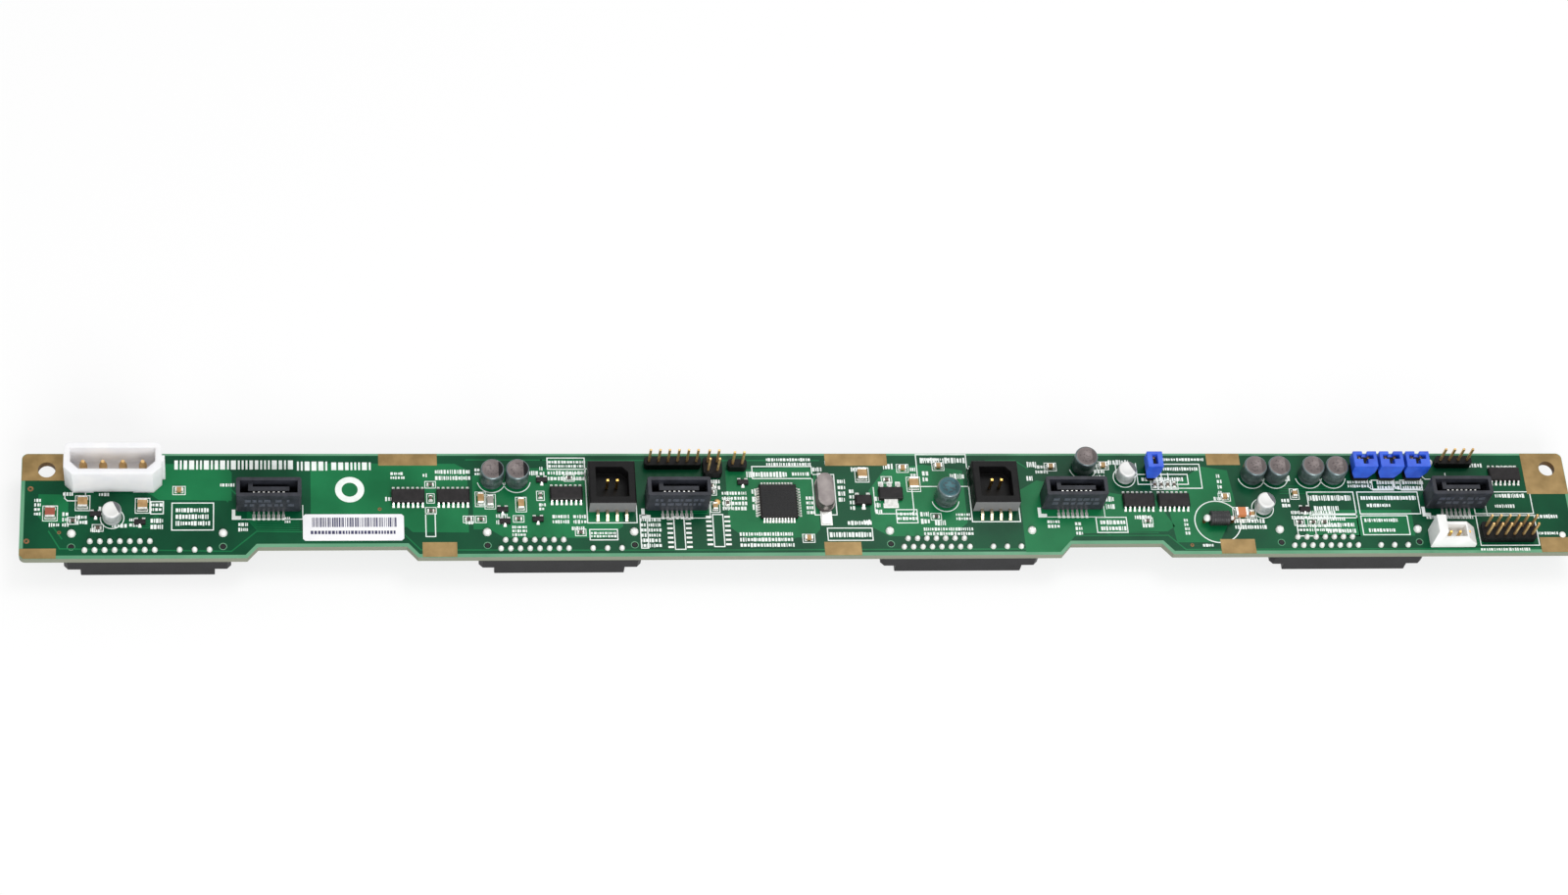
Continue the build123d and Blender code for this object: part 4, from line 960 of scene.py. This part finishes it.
# %% Rings
RING_WIDTH = 0.25
FRONT_ARC = (190, 350)
ARC_STEP = 8
BROAD_RING = (358.9, 500.1)
BROAD_RING_SIZE = (2.95, 1.7)
CHOKE_RING_SIZE = (6.35, 0.3)


def ring(bm, centre, radius, width, start=0, end=360):
    """A ring of ink, or a part of one from one angle to another; lengths in millimetres."""
    inner, outer = radius - width / 2, radius + width / 2
    if end - start == 360:
        plate(bm, circle(centre, outer, 48), INK, [circle(centre, inner, 48)])
        return
    steps = round((end - start) / ARC_STEP)
    angles = [math.radians(start + (end - start) * i / steps) for i in range(steps + 1)]
    arcs = [(outer, a) for a in angles] + [(inner, a) for a in reversed(angles)]
    plate(bm, [(centre[0] + r * MM * math.cos(a), centre[1] + r * MM * math.sin(a)) for r, a in arcs],
          INK)


ring(bm, on_board(*BROAD_RING), *BROAD_RING_SIZE)
for name, room, arc in (("can_capacitors", 0.55, FRONT_ARC), ("small_can_capacitors", 0.5, ())):
    for points in loose_parts(name):
        low, high = extent(points)
        ring(bm, (low + high) / 2, (high.x - low.x) / 2 / MM + room, RING_WIDTH, *arc)
low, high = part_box("choke_body")
ring(bm, (low + high) / 2, *CHOKE_RING_SIZE)
print("faces of ink so far", len(bm.faces))

# %% [markdown]
# ## Rows of print
# The print is plain bars, as in a drawing at a small scale. A seeded chance gives the widths and
# heights, so each run draws the same rows. Each patch of print is given by two corners in the
# picture and its number of rows, and has its own height, so that two patches that touch don't
# flicker.

# %% Print
# Start, end and half height of the tall bars along the upper edge
TALL_BARS = ((176, 300, 1.35), (304, 336, 1.35), (340, 380, 1.15))
TALL_BARS_ROW = 477
PRINT = (
    (224, 494, 238, 499, 1), (60, 505, 70, 510, 1), (30, 512, 36, 530, 4), (60, 525, 66, 541, 3),
    (74, 528, 86, 538, 2), (90, 540, 100, 546, 1), (112, 536, 128, 541, 1), (152, 515, 164, 524, 2),
    (152, 530, 164, 542, 2), (178, 519, 213, 538, 3), (243, 533, 252, 543, 2), (291, 527, 296, 534, 2),
    (402, 482, 416, 490, 2), (449, 479, 486, 491, 2), (436, 483, 441, 488, 1), (396, 506, 402, 512, 1),
    (491, 478, 498, 486, 2), (558, 476, 562, 491, 3), (567, 470, 604, 478, 2), (556, 512, 562, 520, 2),
    (569, 523, 585, 533, 2), (590, 523, 604, 533, 2), (480, 524, 488, 534, 2), (528, 534, 542, 545, 3),
    (607, 540, 633, 546, 2), (588, 534, 600, 540, 1), (657, 526, 663, 556, 6), (665, 526, 677, 556, 6),
    (667, 474, 713, 478, 1), (740, 500, 764, 520, 4), (787, 467, 831, 476, 2), (766, 480, 806, 488, 1),
    (812, 481, 830, 486, 1), (755, 540, 808, 556, 3), (824, 505, 832, 524, 4), (857, 488, 864, 512, 4),
    (868, 498, 872, 520, 4), (845, 540, 886, 547, 1), (864, 529, 888, 535, 1), (905, 472, 914, 480, 1),
    (914, 521, 934, 530, 2), (932, 476, 938, 488, 2), (944, 467, 972, 471, 1), (972, 482, 986, 490, 1),
    (974, 522, 988, 530, 2), (940, 536, 990, 545, 2), (1050, 484, 1056, 492, 1), (1060, 474, 1072, 484, 2),
    (1066, 529, 1078, 538, 2), (1094, 531, 1100, 545, 3), (1120, 529, 1145, 541, 2),
    (1156, 524, 1172, 530, 1), (1163, 533, 1174, 538, 1), (1192, 467, 1235, 471, 1),
    (1192, 476, 1228, 481, 1), (1206, 528, 1210, 545, 4), (1246, 483, 1250, 505, 4),
    (1258, 528, 1290, 540, 2), (1222, 553, 1232, 557, 1), (1136, 468, 1156, 476, 1),
    (1338, 504, 1380, 512, 1), (1342, 515, 1366, 522, 1), (1391, 505, 1446, 511, 1),
    (1396, 513, 1420, 518, 1), (1391, 528, 1424, 533, 1), (1394, 538, 1420, 543, 1),
    (1318, 520, 1362, 530, 2), (1322, 534, 1366, 542, 2), (1380, 490, 1404, 498, 2),
    (1410, 490, 1432, 500, 2), (1436, 490, 1456, 500, 2), (1500, 472, 1518, 478, 1),
    (1526, 503, 1556, 509, 1), (1524, 514, 1544, 519, 1), (1562, 542, 1582, 546, 1),
    (1502, 558, 1550, 562, 1), (1520, 492, 1524, 500, 1), (1454, 526, 1500, 530, 1),
    (943, 466, 962, 474, 1), (966, 466, 988, 474, 1), (944, 480, 950, 492, 2), (1168, 486, 1212, 492, 1),
    (566, 480, 604, 491, 2), (610, 482, 616, 494, 2), (538, 480, 556, 486, 1), (722, 488, 738, 500, 2),
    (770, 497, 780, 520, 3), (833, 476, 842, 482, 1), (846, 468, 866, 476, 1), (872, 470, 882, 482, 2),
    (880, 528, 888, 534, 1), (893, 505, 899, 524, 3), (938, 520, 946, 534, 2), (952, 528, 962, 536, 1),
    (1052, 470, 1062, 478, 1), (1120, 472, 1130, 490, 3), (1142, 478, 1150, 490, 1),
    (1128, 505, 1136, 520, 2), (1240, 506, 1252, 511, 1), (1310, 508, 1318, 518, 2),
    (1312, 484, 1322, 492, 1), (1282, 476, 1288, 486, 2), (1352, 532, 1380, 544, 2),
    (1344, 526, 1372, 532, 1), (1534, 474, 1550, 480, 1), (1562, 524, 1584, 530, 1),
    (98, 505, 108, 510, 1), (98, 519, 106, 524, 1), (130, 530, 138, 540, 2), (46, 536, 56, 541, 1),
    (620, 512, 628, 520, 1), (512, 522, 524, 534, 2), (495, 506, 500, 516, 2),
)
chance = random.Random(7)


def bars(start, stop, width, gap):
    """Start and width of each bar in a row; width and gap give the next size in millimetres."""
    x = start
    while x < stop:
        wide = width() * MM
        yield x, wide
        x += wide + gap() * MM


def rows_of(px0, py0, px1, py1, rows):
    """The two ends, the middle and the pitch of each row in a patch of print."""
    a, b = on_board(px0, py0), on_board(px1, py1)
    pitch = (a.y - b.y) / rows
    return [(a.x, b.x, a.y - pitch * (row + 0.5), pitch) for row in range(rows)]


for start, end, half in TALL_BARS:
    first, last = on_board(start, TALL_BARS_ROW), on_board(end, TALL_BARS_ROW)
    for x, wide in bars(first.x, last.x, lambda: chance.choice((0.5, 0.9, 1.3)), lambda: 0.5):
        slab(bm, (x, first.y - half * MM), (x + wide, first.y + half * MM), PRINT_INK)
for patch in PRINT:
    thick = PRINT_INK + chance.uniform(0, STAGGER)
    for start, stop, y, pitch in rows_of(*patch):
        for x, wide in bars(start, stop, lambda: chance.uniform(0.2, 0.75),
                            lambda: chance.uniform(0.14, 0.34)):
            half = pitch * chance.uniform(0.5, 0.72) / 2
            slab(bm, (x, y - half), (min(x + wide, stop + 0.2 * MM), y + half), thick)
add_piece("white_ink", bm, ink)

# %% [markdown]
# ## Ink on the rear
# The hidden rear gets a few patches of the same plain print, and a line with two ends over each
# receptacle. They hang under the rear face as the front ink stands on the front.

# %% Rear ink
REAR_PRINT = ((158, 486, 220, 496, 2), (330, 474, 380, 484, 2), (560, 466, 640, 475, 2),
              (700, 528, 760, 540, 2), (800, 486, 850, 496, 2), (960, 466, 1030, 474, 1),
              (1120, 504, 1180, 514, 2), (1240, 486, 1300, 494, 1), (1440, 504, 1490, 514, 2))
REAR_LINE = 0.25
bm = bmesh.new()
for patch in REAR_PRINT:
    for start, stop, y, pitch in rows_of(*patch):
        for x, wide in bars(start, stop, lambda: chance.uniform(0.4, 0.9), lambda: 0.3):
            slab(bm, (x, y - pitch * 0.3), (x + wide, y + pitch * 0.3), INK, REAR - INK * MM)
for bay in BAYS:
    low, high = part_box(f"drive_receptacle_{bay}")
    left, right, line = low.x - 0.5 * MM, high.x + 0.5 * MM, high.y + 0.6 * MM
    path(bm, [(left, line), (right, line)], REAR_LINE, INK, base=REAR - (INK + STAGGER) * MM)
    for x in (left, right):
        path(bm, [(x, high.y - 3 * MM), (x, line)], REAR_LINE, INK,
             base=REAR - (INK + 2 * STAGGER) * MM)
add_piece("white_ink_rear", bm, ink)

# %% [markdown]
# ## Turned cans
# A can capacitor is an aluminium cup, rolled in over a rubber plug at its foot and rounded at the
# top. The CAD keeps it as a rod. Here its profile is drawn once and spun about its axis. Each can
# keeps its own flat map of where a point lies from its axis, so that a mark on its top falls in
# the same place on all of them.

# %% Turned shapes
def turned(bm, uv, centre, profile, steps=40):
    """Spins a profile of radius and height about an upright axis; lengths in millimetres."""
    verts = [bm.verts.new((r * MM, 0, z * MM)) for r, z in profile]
    edges = [bm.edges.new(pair) for pair in zip(verts, verts[1:])]
    before = set(bm.faces)
    bmesh.ops.spin(bm, geom=verts + edges, cent=(0, 0, 0), axis=(0, 0, 1), angle=2 * math.pi,
                   steps=steps, use_merge=True)
    faces = [f for f in bm.faces if f not in before]
    points = list({v for f in faces for v in f.verts})
    bmesh.ops.remove_doubles(bm, verts=points, dist=0.001 * MM)
    faces = [f for f in bm.faces if f not in before]
    bmesh.ops.recalc_face_normals(bm, faces=faces)
    for face in faces:
        for loop in face.loops:
            loop[uv].uv = (loop.vert.co.x / MM, loop.vert.co.y / MM)
    bmesh.ops.translate(bm, verts=list({v for f in faces for v in f.verts}), vec=centre)


def can_profile(radius, height):
    """Rubber plug, rolled foot, straight sleeve, rounded shoulder and a shallow dish on top."""
    return [(0, 0), (radius - 0.5, 0), (radius - 0.45, 0.35), (radius - 0.15, 0.5),
            (radius - 0.02, 0.85), (radius - 0.28, 1.15), (radius - 0.28, 1.4), (radius, 1.7),
            (radius, height - 0.55), (radius - 0.12, height - 0.2), (radius - 0.4, height),
            (radius - 0.75, height - 0.02), (radius - 0.9, height - 0.12), (0, height - 0.14)]


def make_cans(node, name, material):
    """Turned cans in place of the CAD rods."""
    bm = bmesh.new()
    uv = bm.loops.layers.uv.new("from_axis")
    for points in loose_parts(node):
        low, high = extent(points)
        middle = Vector(((low.x + high.x) / 2, (low.y + high.y) / 2, low.z))
        turned(bm, uv, middle, can_profile((high.x - low.x) / 2 / MM, (high.z - low.z) / MM))
    piece = add_piece(name, bm, material)
    piece.data.shade_smooth()
    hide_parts(node)


print("corners in a can's profile", len(can_profile(4, 10)))

# %% [markdown]
# ## Tall cans
# The bare top of a tall can is duller than its wall and blotched in the middle, which is a patch of
# noise. A black segment marks one lead. It is clear on the first two cans and faint on the others,
# and the top of the can near the middle of the board is teal.

# %% Tall cans
TOP_RADIUS, BLOTCH_RADIUS, SEGMENT_FROM = 2.78, 1.9, 1.55
BLOTCH_FROM, BLOTCH_SHARE = 0.58, 0.6
TEAL_FROM, TEAL_TO = 30, 37
CLEAR_FROM, CLEAR_TO, FAINT = -100, -70, 0.35


def from_axis(tree):
    """The flat map of a can: x and y from its axis, in millimetres."""
    split = tree.nodes.new("ShaderNodeSeparateXYZ")
    tree.links.new(add(tree, "ShaderNodeUVMap", uv_map="from_axis").outputs[0], split.inputs[0])
    return split.outputs["X"], split.outputs["Y"]


def within(tree, x, y, radius):
    """One nearer to a can's axis than a radius in millimetres."""
    return calc(tree, "LESS_THAN", calc(tree, "SQRT", squares(tree, x, y)), radius)


# The wall's dark blue-grey is partly the can's own tone and partly a painted reflection of dark
# surroundings.
can_metal = finish("can_metal", (92, 106, 110), (124, 138, 140), 0.24, 0.34, 0.75, blotch=500,
                   shine=0.2)
tree = can_metal.node_tree
x, y = from_axis(tree)
top = calc(tree, "MULTIPLY", within(tree, x, y, TOP_RADIUS), height_mask(tree, FACE + 5 * MM))
recolour(can_metal, top, (112, 104, 103), rough=0.42, metal=0.5)
teal = calc(tree, "MULTIPLY", top, x_between(tree, TEAL_FROM, TEAL_TO))
recolour(can_metal, teal, (62, 96, 102))
noise = add(tree, "ShaderNodeTexNoise", Scale=1600.0, Detail=1.0)
tree.links.new(tree.nodes.new("ShaderNodeTexCoord").outputs["Object"], noise.inputs["Vector"])
spots = calc(tree, "MULTIPLY", calc(tree, "GREATER_THAN", noise.outputs["Fac"], BLOTCH_FROM),
             within(tree, x, y, BLOTCH_RADIUS))
spots = calc(tree, "MULTIPLY", spots, calc(tree, "MULTIPLY", top, BLOTCH_SHARE))
recolour(can_metal, spots, (62, 56, 58))
clear = calc(tree, "MULTIPLY", x_between(tree, CLEAR_FROM, CLEAR_TO), 1 - FAINT)
clear = calc(tree, "ADD", clear, FAINT)
segment = calc(tree, "MULTIPLY", calc(tree, "GREATER_THAN", x, SEGMENT_FROM),
               calc(tree, "MULTIPLY", top, clear))
recolour(can_metal, segment, (16, 16, 18), rough=0.6, metal=0.0)
make_cans("can_capacitors", "tall_cans", can_metal)

# %% [markdown]
# ## Small cans
# The three small cans have a white top with a grey wedge across one side. The wedge is the part
# past a slanted line on the flat map.

# %% Small cans
SMALL_TOP_RADIUS, WEDGE_SLANT, WEDGE_FROM = 2.3, 0.5, 1.35
pale_can = finish("pale_can", (176, 180, 182), (214, 216, 216), 0.3, 0.45, 0.35, blotch=500)
tree = pale_can.node_tree
x, y = from_axis(tree)
top = calc(tree, "MULTIPLY", within(tree, x, y, SMALL_TOP_RADIUS),
           height_mask(tree, FACE + 4 * MM))
recolour(pale_can, top, (226, 226, 224), rough=0.5, metal=0.0)
slant = calc(tree, "ADD", x, calc(tree, "MULTIPLY", y, WEDGE_SLANT))
wedge = calc(tree, "GREATER_THAN", slant, WEDGE_FROM)
recolour(pale_can, calc(tree, "MULTIPLY", wedge, top), (96, 98, 102))
make_cans("small_can_capacitors", "small_cans", pale_can)

# %% [markdown]
# ## The choke
# A choke is a ferrite bobbin wound with wire and dipped in black lacquer, so its turns show as
# soft ribs. Its profile, a flange at each end and a row of low ribs between, is spun about the
# axis that lies along the board. A ring for every turn of wire would cost many more faces and show
# little more. A ball of solder sits where each lead leaves it.

# %% Choke
# The profile is in shares of the choke's half length and of its radius.
RIBS, FIRST_RIB, RIB_PITCH = 6, -0.62, 0.208
SOLDER_BALLS = ((-1, 1.0), (1, 0.6))
BALL_OUT, BALL_UP = 0.75, 0.1

low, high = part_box("choke_body")
middle, half = (low + high) / 2, (high.x - low.x) / 2
barrel_radius = (high.z - low.z) / 2
bm = bmesh.new()
profile = [(-1.0, 0.0), (-1.0, 0.8), (-0.94, 0.97), (-0.8, 1.0), (-0.7, 0.94)]
for rib in range(RIBS):
    at = FIRST_RIB + rib * RIB_PITCH
    profile += [(at, 0.9), (at + 0.06, 0.97), (at + 0.13, 0.97), (at + 0.19, 0.9)]
profile += [(0.7, 0.94), (0.8, 1.0), (0.94, 0.97), (1.0, 0.8), (1.0, 0.0)]
verts = [bm.verts.new((middle.x + a * half, middle.y, middle.z + r * barrel_radius))
         for a, r in profile]
edges = [bm.edges.new(pair) for pair in zip(verts, verts[1:])]
bmesh.ops.spin(bm, geom=verts + edges, cent=middle, axis=(1, 0, 0), angle=2 * math.pi, steps=32,
               use_merge=True)
bmesh.ops.remove_doubles(bm, verts=bm.verts, dist=0.001 * MM)
bmesh.ops.recalc_face_normals(bm, faces=bm.faces)
barrel = add_piece("choke_barrel", bm, ferrite)
barrel.data.shade_smooth()
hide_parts("choke_body")

bm = bmesh.new()
for side, radius in SOLDER_BALLS:
    place = middle + Vector((side * (half + BALL_OUT * MM), 0, BALL_UP * MM))
    bmesh.ops.create_uvsphere(bm, u_segments=20, v_segments=12, radius=radius * MM,
                              matrix=Matrix.Translation(place))
add_piece("choke_solder", bm, solder).data.shade_smooth()

# %% [markdown]
# ## Sticker
# The square chip wears a plain black sticker over most of its top. It is blacker and glossier than
# the resin round it. A thin box gives it the fine edge of a real sticker, which a mask on the
# resin would not.

# %% Sticker
STICKER = 0.05
# How far the sticker stays inside the chip at the sides, in front and behind
STICKER_SIDE, STICKER_FRONT, STICKER_BACK = 0.5, 0.4, 2.0
low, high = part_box("controller_chip")
bm = bmesh.new()
slab(bm, (low.x + STICKER_SIDE * MM, low.y + STICKER_FRONT * MM),
     (high.x - STICKER_SIDE * MM, high.y - STICKER_BACK * MM), STICKER, high.z)
sticker = finish("black_sticker", (5, 5, 7), (12, 12, 14), 0.24, 0.32, blotch=200, shine=0.15)
add_piece("chip_sticker", bm, sticker)

# %% [markdown]
# ## The dark inside of the jumper caps
# Through the notch in a cap's top the pins stand in a shaded chamber. A thin black floor set a
# little way down is painted shade that gives that depth. The first cap is narrow and has a plain
# slot, and the other three have a wider part behind, in the shape of a T.

# %% Cap floors
CAP_FLOOR_DOWN, SLOT_HALF, CAP_WALL, FIRST_CAP_WALL = 1.6, 0.63, 1.02, 1.0
T_DEPTH, CAP_FLOOR, T_LIFT, T_FLOOR = 1.25, 0.03, 0.002, 0.033
bm = bmesh.new()
for number in range(1, 5):
    low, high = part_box(f"jumper_cap_{number}")
    level, x = high.z - CAP_FLOOR_DOWN * MM, (low.x + high.x) / 2
    back = high.y - (CAP_WALL if number > 1 else FIRST_CAP_WALL) * MM
    slab(bm, (x - SLOT_HALF * MM, low.y + CAP_WALL * MM), (x + SLOT_HALF * MM, back),
         CAP_FLOOR, level)
    if number > 1:
        slab(bm, (low.x + CAP_WALL * MM, back - T_DEPTH * MM), (high.x - CAP_WALL * MM, back),
             T_FLOOR, level + T_LIFT * MM)
# The black floors are painted shade for the dark chambers under the notches.
add_piece("cap_shade", bm, header_black)

# %% [markdown]
# ## Moulded marks on the ports
# The front wall of a port has two rows of shallow raised marks, which catch the light. Their paler
# grey is a painted highlight for that light. They are plain bars of seeded widths. A bump texture
# could fake them, but thin boxes also stand out in the mesh itself.

# %% Port marks
MARK_ROWS, MARK_PITCH, FIRST_MARK = 2, 2.2, 3.2
MARK_HEIGHT, MARK_OUT = 1.3, 0.05
MARKS_LEFT, MARKS_RIGHT = 2.2, 2.4
# The marks' paler grey is a painted highlight on the black plastic they are moulded in.
relief_highlight = finish("port_relief_highlight", (58, 62, 72), (84, 88, 100), 0.32, 0.5, blotch=1500,
                      relief=0.03, shine=0.4)
bm = bmesh.new()
for bay in BAYS:
    low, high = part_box(f"data_port_{bay}")
    for row in range(MARK_ROWS):
        base = low.z + (FIRST_MARK + MARK_PITCH * row) * MM
        for x, wide in bars(low.x + MARKS_LEFT * MM, high.x - MARKS_RIGHT * MM,
                            lambda: chance.choice((0.7, 1.1, 1.6)),
                            lambda: chance.choice((0.4, 0.6, 1.3))):
            slab(bm, (x, low.y - MARK_OUT * MM), (x + wide, low.y + MARK_OUT * MM),
                 MARK_HEIGHT, base)
add_piece("port_marks", bm, relief_highlight)

# %% [markdown]
# ## Vias and dots of solder
# A via is a plated hole that joins copper on both faces. A few bare ones have gone brown and show
# as small rings, made by the helper that draws the printed ones. A few round dots of solder or
# gold stand alone.

# %% Vias and dots
# Place in the picture, and size in millimetres
VIAS = ((25.4, 502.8, 0.75), (22.9, 555, 0.75), (1211, 554.7, 0.5), (1594, 545, 0.55),
        (57, 546, 0.5), (447, 520, 0.45), (390, 519, 0.5))
SOLDER_DOTS = ((1585.7, 545.5, 0.95, 0.5), (1466, 472, 1.1, 0.6))
GOLD_DOTS = ((735, 511, 0.9, 0.5), (1150, 478, 0.55, 0.4))

bm = bmesh.new()
for px, py, radius in VIAS:
    ring(bm, on_board(px, py), radius * 0.7, radius * 0.6)
rust = finish("rusty_via", (112, 74, 44), (150, 104, 62), 0.5, 0.7, 0.2, blotch=900)
add_piece("vias", bm, rust)

for name, dots, material, slot in (("solder_dots", SOLDER_DOTS, solder, "tinned_metal"),
                                   ("gold_dots", GOLD_DOTS, brass, "brass_pins")):
    bm = bmesh.new()
    for px, py, radius, height in dots:
        dome(bm, *on_board(px, py)[:2], FACE, radius, height)
    add_piece(name, bm, material).data.shade_smooth()

# %% [markdown]
# ## Paper label
# The label carries a row of plain bars of different widths and a row of small bars under it.
# The bars stand for nothing: their widths come from the same seeded chance. They are boxes a
# hundredth of a millimetre high, and the label below them stays a plain solid.

# %% Label bars
LABEL_INK = 0.01
BAR_TOP, BAR_FOOT = 1.0, 3.8
SMALL_TOP, SMALL_FOOT = 2.9, 1.9
# How far the two rows stay inside the label at the left and at the right
BARS_LEFT, BARS_RIGHT = 2.4, 2.2
SMALL_LEFT, SMALL_RIGHT = 2.0, 2.6
bars_ink = finish("label_ink", (28, 28, 64), (58, 58, 100), 0.5, 0.7, blotch=900)
low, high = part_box("paper_label")
bm = bmesh.new()
for x, wide in bars(low.x + BARS_LEFT * MM, high.x - BARS_RIGHT * MM,
                    lambda: chance.choice((0.16, 0.26, 0.4)),
                    lambda: chance.choice((0.16, 0.22, 0.34))):
    slab(bm, (x, high.y - BAR_FOOT * MM), (x + wide, high.y - BAR_TOP * MM), LABEL_INK, high.z)
for x, wide in bars(low.x + SMALL_LEFT * MM, high.x - SMALL_RIGHT * MM,
                    lambda: chance.uniform(0.4, 0.8), lambda: 0.25):
    slab(bm, (x, low.y + SMALL_FOOT * MM), (x + wide, low.y + SMALL_TOP * MM), LABEL_INK, high.z)
add_piece("label_bars", bm, bars_ink)

# %% [markdown]
# ## Soft edges on the CAD parts
# Real mouldings have no knife edges, and the thin bright line that a rounded edge catches makes
# them look solid. The CAD meshes are loose triangles, so each gets a Weld and then a Bevel that
# only works on sharp corners. Both are modifiers, so the mesh itself stays as it is.

# %% Edges
MERGE = 0.002
SHARP_FROM = 40
# Start of the node's name, and width of its rounded edges in millimetres
EDGES = (
    *((f"data_port_{bay}", 0.14) for bay in BAYS),
    ("drive_receptacle", 0.2), ("power_inlet_housing", 0.5), ("sideband_header", 0.12),
    ("logic_chips", 0.08), ("controller_chip", 0.08), ("crystal_can", 0.4), ("crystal_pads", 0.15),
    ("regulator_body", 0.1), ("small_regulator_body", 0.1), ("pin_header", 0.1),
    ("jumper_cap", 0.22), ("wire_connector", 0.2), ("header_pins", 0.12), ("power_inlet_pins", 0.15),
    ("choke_leads", 0.25), ("chip_capacitors", 0.08), ("chip_part_caps", 0.08),
)
for name, node in nodes.items():
    width = listed(EDGES, name)
    if width is None:
        continue
    weld = node.modifiers.new("weld", "WELD")
    weld.merge_threshold = MERGE * MM
    bevel = node.modifiers.new("edges", "BEVEL")
    bevel.width = width * MM
    bevel.segments = 2
    bevel.limit_method = "ANGLE"
    bevel.angle_limit = math.radians(SHARP_FROM)
print("nodes with soft edges:", sum(1 for n in nodes.values() if n.modifiers))

# %% [markdown]
# ## View transform
# The scene is shown with the Standard view transform. The dressed board must not outgrow the
# CAD box.

# %% View transform
bpy.context.scene.view_settings.view_transform = "Standard"
